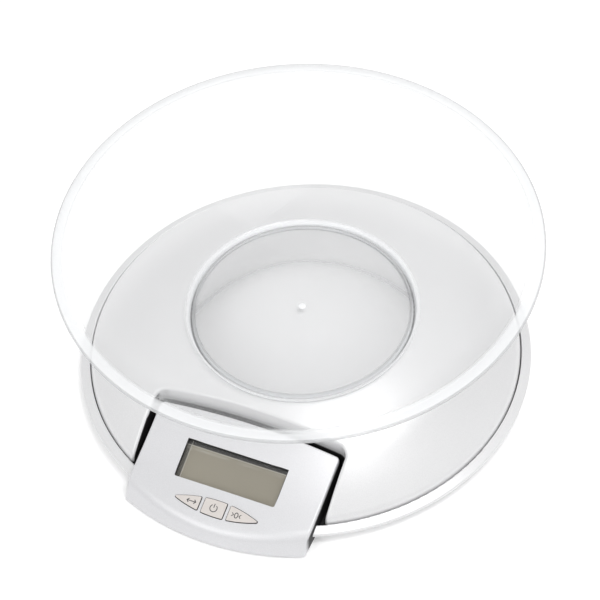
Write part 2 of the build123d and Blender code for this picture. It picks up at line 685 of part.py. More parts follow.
def battery_bay(body):
    """Adds the battery bay, its rails and the door's opening to the base."""
    reach = TONGUE_REACH + DOOR_GAP
    body += door_run(RAIL_W, BASE_UNDERSIDE_Z, LID_Z + BAY_WALL)
    body += bay_block(BAY_WALL, FLOOR_Z, BAY_ROOF_Z + BAY_WALL)
    body -= bay_block(0, LID_Z, BAY_ROOF_Z)
    body -= door_run(DOOR_GAP, 0, LID_Z)
    groove = door_run(DOOR_GAP, BASE_UNDERSIDE_Z + RAIL_LEDGE_T, LID_Z)
    body -= Pos(reach, 0, 0) * groove + Pos(-reach, 0, 0) * groove
    for side in (-1, 1):
        for start in TONGUE_STARTS:
            notch = tongue(side, start + DOOR_TRAVEL, DOOR_GAP)
            body -= notch + Pos(0, 0, -TONGUE_T) * notch + Pos(0, 0, -2 * TONGUE_T) * notch
    return body


def cell_seats():
    """Screw positions at the fixed end and at the free end of the load cell."""
    return [-x for x in CELL_HOLES], list(CELL_HOLES)


def make_base_shell():
    """The base: dish, panel floor, ribs, load cell pedestal, battery bay and screw holes."""
    body = base_dish() + panel_tab()
    for index in range(RIB_COUNT):
        angle = index * 360 / RIB_COUNT
        rib = block(LIP_INNER_R - RIB_LENGTH, LIP_INNER_R + 1, -RIB_T / 2, RIB_T / 2,
                    FLOOR_Z - 1, FLOOR_Z + RIB_H)
        if abs(angle - PANEL_BEARING) > 360 / RIB_COUNT / 2:
            body += Rot(0, 0, angle) * rib
    half_side = CELL_SIDE / 2 + PEDESTAL_MARGIN
    near = CELL_LENGTH / 2 - SPACER_LENGTH - PEDESTAL_MARGIN
    far = CELL_LENGTH / 2 + PEDESTAL_MARGIN
    body += block(-far, -near, -half_side, half_side, FLOOR_Z - 1, CELL_Z - SPACER_T)
    body += rod(STOP_X, 0, FLOOR_Z - 1, CELL_Z - SPACER_T - STOP_GAP, 2 * STOP_R)
    body = battery_bay(body)
    seat_z = cell_screw_seat()
    for x in cell_seats()[0]:
        body -= rod(x, 0, 0, CELL_Z, CELL_SCREW_R + HOLE_GAP)
        body -= rod(x, 0, 0, seat_z, CELL_SCREW_HEAD_R + HEAD_GAP)
    body -= rod(STOP_X, 0, 0, CELL_Z, STOP_R + THREAD_GAP)
    for x in (-BRACKET_POST_X, BRACKET_POST_X):
        for y in (-BRACKET_POST_Y, BRACKET_POST_Y):
            body -= rod(x, y, 0, FLOOR_Z, ACCESS_R)
    for x in (-BOSS_X, BOSS_X):
        for y in BOSS_YS:
            body -= rod(x, y, 0, FLOOR_Z, PANEL_SCREW_R + HOLE_GAP)
            body -= rod(x, y, 0, panel_screw_seat(), PANEL_SCREW_HEAD_R + HEAD_GAP)
    for place in foot_places():
        body -= place * rod(0, 0, 0, FOOT_H, FOOT_R + TOUCH_GAP)
    return body


def cell_screw_seat():
    """Height of the face that the fixed-end screws' heads press on."""
    return BASE_UNDERSIDE_Z + CELL_SCREW_HEAD_H + HOLE_GAP


def make_feet():
    """Four rubber feet with rounded soles."""
    sole = chamfer(rod(0, 0, 0, FOOT_H, FOOT_R).edges().group_by(Axis.Z)[0], FOOT_H / 4)
    return group([place * sole for place in foot_places()])


# --- Load cell and bracket --------------------------------------------------------------------
def make_load_cell():
    """The bending beam: a bar with a dumbbell window and two screw holes at each end."""
    half = CELL_LENGTH / 2
    side = CELL_SIDE / 2
    bar = block(-half, half, -side, side, CELL_Z, CELL_TOP_Z)
    middle_z = CELL_Z + side
    for x in (-CELL_WINDOW_HALF, CELL_WINDOW_HALF):
        bar -= Pos(x, 0, middle_z) * Rot(90, 0, 0) * Cylinder(CELL_WINDOW_R, 2 * CELL_SIDE)
    slit = CELL_WINDOW_R / 2
    bar -= block(-CELL_WINDOW_HALF, CELL_WINDOW_HALF, -side, side, middle_z - slit, middle_z + slit)
    for x in cell_seats()[0] + cell_seats()[1]:
        bar -= rod(x, 0, CELL_Z, CELL_TOP_Z, CELL_SCREW_R + CELL_SCREW_GAP)
    return bar


def make_spacer(ends, z0):
    """A flat spacer between one end of the load cell and what it's screwed to."""
    middle = sum(ends) / 2
    half = SPACER_LENGTH / 2
    side = CELL_SIDE / 2
    body = block(middle - half, middle + half, -side, side, z0, z0 + SPACER_T)
    for x in ends:
        body -= rod(x, 0, z0, z0 + SPACER_T, CELL_SCREW_R + HOLE_GAP)
    return body


def make_lower_screws():
    """Two screws that come up through the base into the load cell's fixed end."""
    length = CELL_Z + CELL_SCREW_BITE - cell_screw_seat()
    part = screw(CELL_SCREW_R, length, CELL_SCREW_HEAD_R, CELL_SCREW_HEAD_H,
                 CELL_SCREW_R * DRIVE_SHARE, CELL_SCREW_HEAD_H / 2)
    return group([Pos(x, 0, cell_screw_seat()) * part for x in cell_seats()[0]])


def make_upper_screws():
    """Two screws that go down through the bracket into the load cell's free end."""
    length = BRACKET_TOP_Z - CELL_TOP_Z + CELL_SCREW_BITE
    part = Rot(180, 0, 0) * screw(CELL_SCREW_R, length, CELL_SCREW_HEAD_R, CELL_SCREW_HEAD_H,
                                  CELL_SCREW_R * DRIVE_SHARE, CELL_SCREW_HEAD_H / 2)
    return group([Pos(x, 0, BRACKET_TOP_Z) * part for x in cell_seats()[1]])


def make_gauge_pads():
    """Potting over the strain gauges, on the load cell's upper and lower faces."""
    half, side = GAUGE_LENGTH / 2, GAUGE_W / 2
    return group([
        block(-half, half, -side, side, CELL_TOP_Z, CELL_TOP_Z + GAUGE_T),
        block(-half, half, -side, side, CELL_Z - GAUGE_T, CELL_Z),
    ])


def make_overload_stop():
    """The set screw under the free end that stops the load cell from being bent too far."""
    top = CELL_Z - STOP_GAP
    body = rod(STOP_X, 0, FLOOR_Z - 1, top, STOP_R)
    return body - Pos(STOP_X, 0, FLOOR_Z - 1) * cut_hex(STOP_R / 2, STOP_R)


def make_bracket():
    """The steel plate that carries the platform on the load cell's free end."""
    half = BRACKET_ARM_W / 2
    reach_x = BRACKET_POST_X + half
    reach_y = BRACKET_POST_Y + half
    spine = Rectangle(2 * reach_x, BRACKET_ARM_W)
    arms = [Pos(x, 0) * Rectangle(BRACKET_ARM_W, 2 * reach_y) for x in (-BRACKET_POST_X, BRACKET_POST_X)]
    outline = spine + arms[0] + arms[1]
    outline = fillet(outline.vertices(), BRACKET_CORNER_R)
    body = Pos(0, 0, BRACKET_Z) * extrude(outline, BRACKET_T)
    for x in cell_seats()[1]:
        body -= rod(x, 0, BRACKET_Z, BRACKET_TOP_Z, CELL_SCREW_R + HOLE_GAP)
    for x in (-BRACKET_POST_X, BRACKET_POST_X):
        for y in (-BRACKET_POST_Y, BRACKET_POST_Y):
            body -= rod(x, y, BRACKET_Z, BRACKET_TOP_Z, BRACKET_SCREW_R + HOLE_GAP)
    return body


def make_bracket_screws():
    """Four screws that hold the bracket to the platform's posts."""
    part = screw(BRACKET_SCREW_R, BRACKET_SCREW_LENGTH, BRACKET_SCREW_HEAD_R, BRACKET_SCREW_HEAD_H,
                 BRACKET_SCREW_R * DRIVE_SHARE, BRACKET_SCREW_HEAD_H / 2)
    return group([Pos(x, y, BRACKET_Z) * part for x in (-BRACKET_POST_X, BRACKET_POST_X)
                  for y in (-BRACKET_POST_Y, BRACKET_POST_Y)])


# --- Display and boards -----------------------------------------------------------------------
def make_lens():
    """The clear window pane."""
    half_w, half_h = WINDOW_W / 2 + LENS_MARGIN, WINDOW_H / 2 + LENS_MARGIN
    return plate(WINDOW_PLANE, -half_w, half_w, -half_h, half_h, SEAT_DEPTH, LENS_T)


def make_lcd():
    """The LCD's two-layer glass."""
    return plate(WINDOW_PLANE, -LCD_W / 2, LCD_W / 2, -LCD_H / 2, LCD_H / 2, LCD_DEPTH, LCD_T)


def make_lcd_frame():
    """The collar that holds the pane and the LCD over the board."""
    half_w, half_h = frame_half_sizes()
    outer = plate(WINDOW_PLANE, -half_w, half_w, -half_h, half_h, SEAT_DEPTH, BOARD_DEPTH - SEAT_DEPTH)
    half_w -= FRAME_WALL
    half_h -= FRAME_WALL
    return outer - plate(WINDOW_PLANE, -half_w, half_w, -half_h, half_h, 0, 4 * REACH)


def make_strips():
    """Two conductive rubber strips between the LCD's ledges and the board."""
    edge = LCD_H / 2 - HOLE_GAP
    half = STRIP_LENGTH / 2
    return group([
        plate(WINDOW_PLANE, -half, half, v, v + STRIP_W, STRIP_DEPTH, STRIP_T)
        for v in (-edge, edge - STRIP_W)
    ])


def make_main_board():
    """The main circuit board, parallel to the window."""
    body = plate(WINDOW_PLANE, -BOARD_HALF_W, BOARD_HALF_W, BOARD_FRONT, BOARD_REAR, BOARD_DEPTH, BOARD_T)
    for u in (-POST_U, POST_U):
        for v in POST_VS:
            body -= plane_rod(WINDOW_PLANE, u, v, 0, 4 * REACH, BOARD_SCREW_R + HOLE_GAP)
    return body


def make_board_screws():
    """Four small screws that hold the main board to the cover's posts."""
    part = screw(BOARD_SCREW_R, BOARD_SCREW_LENGTH, BOARD_SCREW_HEAD_R, BOARD_SCREW_HEAD_H,
                 BOARD_SCREW_R * DRIVE_SHARE, BOARD_SCREW_HEAD_H / 2)
    return group([WINDOW_PLANE * (Pos(u, v, -BOARD_DEPTH - BOARD_T) * part)
                  for u in (-POST_U, POST_U) for v in POST_VS])


def make_chips():
    """The processor and the converter on the main board's underside."""
    chips = []
    for size, place in ((CHIP_SIZE, CHIP_PLACE), (DRIVER_SIZE, DRIVER_PLACE)):
        half_u, half_v = size[0] / 2, size[1] / 2
        chips.append(plate(WINDOW_PLANE, place[0] - half_u, place[0] + half_u,
                           place[1] - half_v, place[1] + half_v, BOARD_DEPTH + BOARD_T, size[2]))
    return group(chips)


def make_key_board():
    """The small board under the buttons, with an ear at each end."""
    depth = key_board_depth()
    body = plate(KEY_PLANE, -KEY_BOARD_HALF_W, KEY_BOARD_HALF_W, -KEY_BOARD_HALF_H, KEY_BOARD_HALF_H,
                 depth, KEY_BOARD_T)
    for u in (-KEY_POST_U, KEY_POST_U):
        body += plane_rod(KEY_PLANE, u, 0, depth, depth + KEY_BOARD_T, KEY_EAR_R)
        body += plate(KEY_PLANE, min(u, 0), max(u, 0), -KEY_EAR_R, KEY_EAR_R, depth, KEY_BOARD_T)
    return body


def make_key_dome(name):
    """The rubber dome that returns one button."""
    return plane_rod(KEY_PLANE, key_middle(name), 0, key_dome_depth(), key_board_depth(), DOME_KEY_R)


def make_board_ribbon():
    """The flat ribbon that joins the two boards' undersides."""
    main_depth = BOARD_DEPTH + BOARD_T
    key_depth = key_board_depth() + KEY_BOARD_T
    main_in = WINDOW_PLANE * Pos(0, BOARD_FRONT + RIBBON_LAP, -main_depth)
    main_out = WINDOW_PLANE * Pos(0, BOARD_FRONT, -main_depth)
    key_out = KEY_PLANE * Pos(0, KEY_BOARD_HALF_H, -key_depth)
    key_in = KEY_PLANE * Pos(0, KEY_BOARD_HALF_H - RIBBON_LAP, -key_depth)
    upper = [p.position for p in (main_in, main_out, key_out, key_in)]
    downs = [-WINDOW_PLANE.z_dir, -WINDOW_PLANE.z_dir, -KEY_PLANE.z_dir, -KEY_PLANE.z_dir]
    lower = [point + down * RIBBON_T for point, down in zip(upper, downs)]
    face = make_face(Polyline(*upper, *reversed(lower), close=True))
    return extrude(face, RIBBON_W / 2, both=True, dir=(1, 0, 0))


# --- Batteries --------------------------------------------------------------------------------
def battery_run(side):
    """Left and right end of a cell, whose positive end faces the given side."""
    plus = side * (BAY_HALF_L - PLATE_T)
    return plus, plus - side * AAA_LENGTH


def make_battery(side):
    """One AAA cell, lying along X, its positive end towards the given side."""
    plus, minus = battery_run(side)
    y = BAY_Y - side * AAA_Y
    shoulder = plus - side * AAA_NUB_H
    can = Pos((shoulder + minus) / 2, y, AAA_Z) * Rot(0, 90, 0) * Cylinder(AAA_R, abs(shoulder - minus))
    can = chamfer(can.edges(), AAA_NUB_H / 3)
    nub_middle = (plus + shoulder) / 2
    nub = Pos(nub_middle, y, AAA_Z) * Rot(0, 90, 0) * Cylinder(AAA_NUB_R, AAA_NUB_H)
    return can + nub


def make_contact_springs():
    """One conical spring at each cell's negative end."""
    wire = SPRING_WIRE_R
    height = SPRING_SPACE - 2 * wire
    cone = degrees(atan((SPRING_BASE_R - SPRING_TIP_R) / height))
    path = Helix(height / SPRING_TURNS, height, SPRING_BASE_R, cone_angle=-cone)
    coil = sweep((path ^ 0) * Circle(wire), path=path)
    springs = []
    for side in (-1, 1):
        y = BAY_Y - side * AAA_Y
        wall = -side * (BAY_HALF_L - PLATE_T - wire)
        springs.append(Pos(wall, y, AAA_Z) * Rot(0, 90 * side, 0) * coil)
    return group(springs)


def make_contact_plates():
    """Four contact plates on the bay's end walls."""
    plates = []
    for side in (-1, 1):
        for y in (BAY_Y - AAA_Y, BAY_Y + AAA_Y):
            outer, inner = side * BAY_HALF_L, side * (BAY_HALF_L - PLATE_T)
            plates.append(block(min(outer, inner), max(outer, inner), y - PLATE_HALF_W, y + PLATE_HALF_W,
                                AAA_Z - AAA_R, AAA_Z + AAA_R))
    return group(plates)


def make_battery_door():
    """The sliding door: a plate with two tongues each side and grip grooves."""
    front, rear = BAY_Y - DOOR_HALF_W, BAY_Y + DOOR_HALF_W
    body = block(-DOOR_HALF_L, DOOR_HALF_L, front, rear, BASE_UNDERSIDE_Z, DOOR_TOP_Z)
    for side in (-1, 1):
        for start in TONGUE_STARTS:
            body += tongue(side, start, 0)
    for index in range(GRIP_COUNT):
        y = front + (index + 1) * GRIP_PITCH
        body -= block(-GRIP_HALF_LENGTH, GRIP_HALF_LENGTH, y - GRIP_W / 2, y + GRIP_W / 2,
                      BASE_UNDERSIDE_Z, BASE_UNDERSIDE_Z + GRIP_DEPTH)
    return body


# --- Leads ------------------------------------------------------------------------------------
def make_lead(name, points):
    """A lead along straight runs and arcs, each arc as large as its two runs allow."""
    places = [Vector(*point) for point in points]
    radii = []
    for before, here, after in zip(places, places[1:], places[2:]):
        turn = radians((here - before).get_angle(after - here))
        shorter = min((here - before).length, (after - here).length)
        radii.append(ARC_SHARE * shorter / tan(turn / 2))
    print(name, "bend radii", [round(radius, 1) for radius in radii])
    path = FilletPolyline(*places, radius=radii)
    tube = sweep((path ^ 0) * Circle(LEAD_R), path=path)
    print(name, "volume", round(tube.volume, 2), "of", round(path.length * pi * LEAD_R**2, 2))
    return tube


def board_entry(u):
    """The last point of a lead before the main board's underside, and where it meets the board."""
    depth = BOARD_DEPTH + BOARD_T
    before = (WINDOW_PLANE * Pos(u, BOARD_LEAD_V, -depth - BOARD_LEAD_RUN)).position
    end = (WINDOW_PLANE * Pos(u, BOARD_LEAD_V, -depth)).position
    return tuple(before), tuple(end)


def make_cell_lead():
    """The load cell's lead, from the beam's side along the floor to the main board."""
    start = (CELL_LEAD_X, -CELL_SIDE / 2, CELL_Z + CELL_LEAD_RISE)
    outside = (CELL_LEAD_X, -CELL_SIDE, CELL_Z + CELL_LEAD_RISE)
    return make_lead("load_cell_lead", [start, outside, *CELL_LEAD_FLOOR, *board_entry(-BOARD_LEAD_U)])


def make_battery_lead():
    """The battery lead, from the bay's front wall under the load cell to the main board."""
    start_z = LID_Z + BAY_WALL + LEAD_R + MOULD_GAP
    start = (BATTERY_LEAD_X, BAY_Y - BAY_HALF_W - BAY_WALL, start_z)
    outside = (BATTERY_LEAD_X, CELL_SIDE + LEAD_R * 4, start_z)
    return make_lead("battery_lead", [start, outside, *BATTERY_LEAD_FLOOR, *board_entry(BOARD_LEAD_U)])


# --- Panel screws -----------------------------------------------------------------------------
def make_panel_screws():
    """Four screws that come up through the base into the cover's bosses."""
    part = screw(PANEL_SCREW_R, PANEL_SCREW_LENGTH, PANEL_SCREW_HEAD_R, PANEL_SCREW_HEAD_H,
                 PANEL_SCREW_R * DRIVE_SHARE, PANEL_SCREW_HEAD_H / 2)
    return group([Pos(x, y, panel_screw_seat()) * part for x in (-BOSS_X, BOSS_X) for y in BOSS_YS])


def write_parts():
    """Builds every piece and writes each to its own file."""
    os.makedirs("parts", exist_ok=True)
    fixed_end, free_end = cell_seats()
    pieces = {
        "bowl": make_bowl(),
        "platform": make_platform(),
        "platform_bracket": make_bracket(),
        "bracket_screws": make_bracket_screws(),
        "upper_spacer": make_spacer(free_end, CELL_TOP_Z),
        "upper_cell_screws": make_upper_screws(),
        "load_cell": make_load_cell(),
        "gauge_pads": make_gauge_pads(),
        "lower_spacer": make_spacer(fixed_end, CELL_Z - SPACER_T),
        "lower_cell_screws": make_lower_screws(),
        "overload_stop": make_overload_stop(),
        "base_shell": make_base_shell(),
        "rubber_feet": make_feet(),
        "panel_cover": make_panel_cover(),
        "panel_screws": make_panel_screws(),
        "display_pane": make_lens(),
        "lcd_glass": make_lcd(),
        "lcd_frame": make_lcd_frame(),
        "contact_strips": make_strips(),
        "main_board": make_main_board(),
        "board_chips": make_chips(),
        "board_screws": make_board_screws(),
        "key_board": make_key_board(),
        "board_ribbon": make_board_ribbon(),
        "battery_left": make_battery(-1),
        "battery_right": make_battery(1),
        "contact_springs": make_contact_springs(),
        "contact_plates": make_contact_plates(),
        "battery_door": make_battery_door(),
        "load_cell_lead": make_cell_lead(),
        "battery_lead": make_battery_lead(),
    }
    for name in KEY_SPANS:
        pieces["button_" + name] = make_button(name)
        pieces["key_dome_" + name] = make_key_dome(name)
    for name, piece in pieces.items():
        export_step(piece, "parts/" + name + ".step")


if __name__ == "__main__":
    write_parts()
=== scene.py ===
from collections import namedtuple
from math import atan2, cos, pi, radians, sin, tan

import bmesh
import bpy
import numpy as np
from mathutils import Matrix, Vector


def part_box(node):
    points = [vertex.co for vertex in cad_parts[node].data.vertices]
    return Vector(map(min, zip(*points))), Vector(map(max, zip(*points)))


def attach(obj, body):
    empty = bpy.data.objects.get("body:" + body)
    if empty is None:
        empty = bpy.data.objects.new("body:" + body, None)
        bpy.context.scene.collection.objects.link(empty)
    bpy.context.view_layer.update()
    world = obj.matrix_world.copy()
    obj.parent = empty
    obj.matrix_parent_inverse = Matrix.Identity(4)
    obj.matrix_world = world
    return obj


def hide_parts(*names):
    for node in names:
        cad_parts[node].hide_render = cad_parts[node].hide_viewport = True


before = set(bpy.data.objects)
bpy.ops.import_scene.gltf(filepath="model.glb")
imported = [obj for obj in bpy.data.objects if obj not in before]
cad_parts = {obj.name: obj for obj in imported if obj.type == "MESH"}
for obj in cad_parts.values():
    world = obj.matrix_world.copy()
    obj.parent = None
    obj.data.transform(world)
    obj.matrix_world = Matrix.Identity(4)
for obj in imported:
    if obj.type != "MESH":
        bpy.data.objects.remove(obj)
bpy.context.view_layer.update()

bl_info = {
    "name": "Kitchen scale with clear bowl",
    "version": (1, 0, 0),
    "blender": (4, 5, 0),
    "location": "View3D > Sidebar > Kitchen scale",
    "description": "Dresses the packed kitchen scale: finishes, bowl, key marks and studio",
    "category": "Object",
}

MM = 0.001
ROUND_STEPS = 256  # steps round a turned piece
CORNER_STEPS = 7  # points round a rounded corner
WALL_STEPS = 60  # points up each side of the bowl's wall
RING_STEPS = 48  # points round a printed ring
NO_ROUNDING = 0.0001 * MM
CAP_TOP = 0.69 * MM  # a printed line starts just inside the cap
INK_TOP = 0.73 * MM
# painted shade: the dark colour put in the silver shell's gaps and recesses
PAINTED_SHADE_DARK = (0.018, 0.018, 0.019)
PANEL_SWEEP = 2.15  # change of the panel's slope towards its rear, per metre
PANEL_CROWN = 2.4  # how the panel's rear edge falls away at its sides, per metre
PANEL_REAR_Y = -58 * MM
CROWN_START = 0.1  # how far in front of the axis the crown dies out
CROWN_LENGTH = 0.042  # from there to the panel's rear edge
LIGHTS = (  # name, place, size and share of the main light's power
    ("overhead_light", (0.45, -0.12, 1.5), 0.75, 1.0),
    ("front_light", (-0.45, -1.15, 1.15), 0.7, 0.3),
)

Slope = namedtuple("Slope", "middle angle")


def slope_over(node, angle, depth):
    """The sloping plane that lies a depth over the middle of a flat CAD node."""
    low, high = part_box(node)
    middle = (low + high) / 2
    return Slope((middle.x, middle.y - depth * sin(angle), middle.z + depth * cos(angle)), angle)


def arc_circle(start, end, slope):
    """Middle and radius of the arc that leaves start at a slope and reaches end, in radius and height."""
    start, end = np.array(start), np.array(end)
    normal = np.array([-sin(slope), cos(slope)])
    chord = end - start
    reach = chord @ chord / (2 * chord @ normal)
    return start + normal * reach, abs(reach)


WINDOW = slope_over("display_pane", radians(22.29), 2.7 * MM)
KEYS = slope_over("key_board", radians(18.784), 4.85 * MM)
DOME_MIDDLE, DOME_R = arc_circle((50 * MM, 34.5 * MM), (95.3 * MM, 9.2 * MM), radians(-15))
BRIM_ROUNDING = 0.13 * MM  # what the rounded brim loses from its corner's height
BOWL_FOOT, BOWL_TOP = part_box("bowl")[0].z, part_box("bowl")[1].z + BRIM_ROUNDING


# --- Shader maths -----------------------------------------------------------------------------
class Value:
    """A number that changes over a surface. Arithmetic on it adds Math nodes."""

    def __init__(self, finish, socket):
        self.finish = finish
        self.socket = socket

    def sum(self, operation, first, second=0.0):
        """One Math node with the given operation."""
        return self.finish.value("ShaderNodeMath", {"operation": operation}, {0: first, 1: second})

    def __add__(self, other):
        return self.sum("ADD", self, other)

    def __sub__(self, other):
        return self.sum("SUBTRACT", self, other)

    def __rsub__(self, other):
        return self.sum("SUBTRACT", other, self)

    def __mul__(self, other):
        return self.sum("MULTIPLY", self, other)

    def __truediv__(self, other):
        return self.sum("DIVIDE", self, other)

    def __rtruediv__(self, other):
        return self.sum("DIVIDE", other, self)

    def __pow__(self, other):
        return self.sum("POWER", self, other)

    def __abs__(self):
        return self.sum("ABSOLUTE", self)

    def __mod__(self, other):
        return self.sum("MODULO", self, other)

    __radd__ = __add__
    __rmul__ = __mul__

    def at_least(self, other):
        return self.sum("MAXIMUM", self, other)

    def at_most(self, other):
        return self.sum("MINIMUM", self, other)

    def ramp(self, low, high):
        """0 below low, 1 above high and a smooth rise between them; the other way round if low > high."""
        return self.finish.value(
            "ShaderNodeMapRange", {"interpolation_type": "SMOOTHSTEP"},
            {"Value": self, "From Min": low, "From Max": high, "To Min": 0.0, "To Max": 1.0})


class Tree:
    """A node tree that is emptied and filled again."""

    def __init__(self, owner):
        owner.use_nodes = True
        self.tree = owner.node_tree
        self.tree.nodes.clear()

    def node(self, kind, settings=None, sockets=None):
        """Adds a node: its settings first, then the value or link of each named or numbered socket."""
        node = self.tree.nodes.new(kind)
        for key, setting in (settings or {}).items():
            setattr(node, key, setting)
        for key, given in (sockets or {}).items():
            self.feed(node.inputs[key], given)
        return node

    def feed(self, socket, given):
        """Links a Value or an output to a socket, or sets the socket to a constant."""
        if isinstance(given, Value):
            given = given.socket
        if isinstance(given, bpy.types.NodeSocket):
            self.tree.links.new(given, socket)
        elif hasattr(given, "__len__") and socket.type == "RGBA":
            socket.default_value = (*given[:3], 1.0)
        else:
            socket.default_value = given

    def value(self, kind, settings=None, sockets=None, output=0):
        """A node whose output is used as a number."""
        return Value(self, self.node(kind, settings, sockets).outputs[output])

    def blend(self, mask, first, second):
        """The first colour where the mask is 0 and the second where it is 1."""
        mix = self.node("ShaderNodeMix", {"data_type": "RGBA"}, {"Factor": mask})
        self.feed(mix.inputs[6], first)
        self.feed(mix.inputs[7], second)
        return mix.outputs[2]


class Finish(Tree):
    """A material in the making: one Principled shader, and the nodes that its patterns need."""

    def __init__(self, name, roughness=0.5, metallic=0.0, **constants):
        self.material = bpy.data.materials.new(name)
        super().__init__(self.material)
        self.shader = self.node("ShaderNodeBsdfPrincipled")
        self.output = self.node("ShaderNodeOutputMaterial", {}, {"Surface": self.shader.outputs[0]})
        self.set(Roughness=roughness, Metallic=metallic, **constants)
        self.where = self.node("ShaderNodeTexCoord").outputs["Object"]

    def set(self, **given):
        """Sets or links the Principled shader's sockets; an underscore in a name stands for a space."""
        for key, what in given.items():
            self.feed(self.shader.inputs[key.replace("_", " ")], what)
        return self

    def grain(self, scale, detail=2.0, stretch=None):
        """Smooth noise from 0 to 1 with features of about one over scale metres, stretched if asked."""
        where = self.where
        if stretch:
            where = self.node("ShaderNodeMapping", {}, {"Vector": where, "Scale": stretch}).outputs[0]
        return self.value("ShaderNodeTexNoise", {}, {"Vector": where, "Scale": scale, "Detail": detail})

    def specks(self, scale):
        """Distance to the nearest of many scattered points, about 0 to 1."""
        return self.value("ShaderNodeTexVoronoi", {}, {"Vector": self.where, "Scale": scale})

    def axis(self, letter):
        """One of the object's own coordinates, in metres."""
        return self.value("ShaderNodeSeparateXYZ", {}, {0: self.where}, letter)

    def radius(self):
        """Distance from the scale's upright axis, in metres."""
        x, y = self.axis("X"), self.axis("Y")
        return (x * x + y * y) ** 0.5

    def on_slope(self, slope):
        """Places across, up and square to a slope, as numbers in metres from the slope's middle."""
        y, z = self.axis("Y") - slope.middle[1], self.axis("Z") - slope.middle[2]
        up = y * cos(slope.angle) + z * sin(slope.angle)
        out = z * cos(slope.angle) - y * sin(slope.angle)
        return self.axis("X") - slope.middle[0], up, out

    def bump(self, height, depth, strength=1.0):
        """A normal from a height of 0 to 1, which stands for this depth in metres."""
        sockets = {"Height": height, "Distance": depth, "Strength": strength}
        return self.node("ShaderNodeBump", {}, sockets).outputs[0]

    def see_through(self, share):
        """Mixes the shader over a clear one, by the share that is seen of it."""
        clear = self.node("ShaderNodeBsdfTransparent")
        sockets = {0: share, 1: clear.outputs[0], 2: self.shader.outputs[0]}
        mix = self.node("ShaderNodeMixShader", {}, sockets)
        self.tree.links.new(mix.outputs[0], self.output.inputs["Surface"])
        return self


def shade(colour, factor):
    """A colour made lighter or darker by a factor."""
    return tuple(min(1.0, c * factor) for c in colour[:3])


# --- Finishes ---------------------------------------------------------------------------------
def satin_silver(name, colour, settings, bare=None):
    """Silver paint: flake, mould texture, handling marks, and painted shade: a dark colour put in the gaps
    and recesses that the bare mask picks out.
    """
    finish = Finish(name)
    clouds = finish.grain(16, 3)
    flake = finish.grain(2600, 1)
    rubs = finish.grain(90, 4, (1.0, 4.0, 1.0)).ramp(0.56, 0.75)
    mask = (clouds * 0.5 + flake * 0.9 - 0.2).ramp(0.2, 0.8)
    # painted shade: the bare mask darkens gaps and recesses, and makes them rougher and less metallic
    painted_shade = bare(finish) if bare else 0.0
    silver = finish.blend(mask, shade(colour, 0.955), shade(colour, 1.03))
    finish.set(
        Base_Color=finish.blend(painted_shade, silver, PAINTED_SHADE_DARK),
        Metallic=settings.metal * (1 - painted_shade),
        Roughness=settings.gloss_loss + flake * 0.06 + clouds * 0.05 - rubs * 0.05 + painted_shade * 0.2,
        Normal=finish.bump(finish.grain(1500, 3), 0.00003, settings.texture))
    return finish.material


def panel_top(finish, y=None):
    """Height of the panel's top in metres: a swept slope with a crown that dies out in front."""
    x, y = finish.axis("X"), finish.axis("Y") if y is None else y
    depth = y - WINDOW.middle[1]
    crown = (y + CROWN_START) * (PANEL_CROWN / CROWN_LENGTH)
    return depth * tan(WINDOW.angle) + depth * depth * PANEL_SWEEP + WINDOW.middle[2] - crown * x * x


def panel_painted_shade(finish):
    """Painted shade: dark in the window's and the keys' openings, and down the walls beside and behind the
    panel where they sink below its top.
    """
    u, v, out = finish.on_slope(WINDOW)
    window = abs(u).ramp(23.75 * MM, 23.6 * MM) * abs(v).ramp(9.0 * MM, 8.85 * MM)
    window = window * out.ramp(-0.25 * MM, -0.5 * MM)
    u, v, out = finish.on_slope(KEYS)
    keys = abs(u).ramp(21.0 * MM, 20.5 * MM) * abs(v).ramp(4.6 * MM, 4.4 * MM)
    keys = keys * out.ramp(-0.15 * MM, -0.4 * MM)
    y = finish.axis("Y")
    side = abs(finish.axis("X")).ramp(41.9 * MM, 42.3 * MM).at_least(y.ramp(-58.6 * MM, -58.2 * MM))
    sunk = (finish.axis("Z") - panel_top(finish)).ramp(-0.9 * MM, -2.6 * MM)
    return window.at_least(keys).at_least(side * sunk * y.ramp(-97.5 * MM, -93.0 * MM))


def platform_painted_shade(finish):
    """Painted shade: dark on the walls of the notch where they fall below the dome, and low on its back wall.
    """
    x, y, z = finish.axis("X"), finish.axis("Y"), finish.axis("Z")
    inside = abs(x).ramp(45.3 * MM, 45.1 * MM) * y.ramp(-55.0 * MM, -55.3 * MM)
    dome = (DOME_R ** 2 - (finish.radius() - DOME_MIDDLE[0]) ** 2.0) ** 0.5 + DOME_MIDDLE[1]
    beside = abs(x).ramp(43.2 * MM, 44.4 * MM) * (z - dome).ramp(-1.2 * MM, -2.4 * MM)
    behind = (z - panel_top(finish, PANEL_REAR_Y)).ramp(-1.0 * MM, -2.4 * MM)
    return inside * beside.at_least(behind)


def base_painted_shade(finish):
    """Painted shade: dark inside the lip and on the floor under the platform, down in the seam."""
    return finish.radius().ramp(95.6 * MM, 95.4 * MM) * finish.axis("Z").ramp(2.0 * MM, 2.8 * MM)


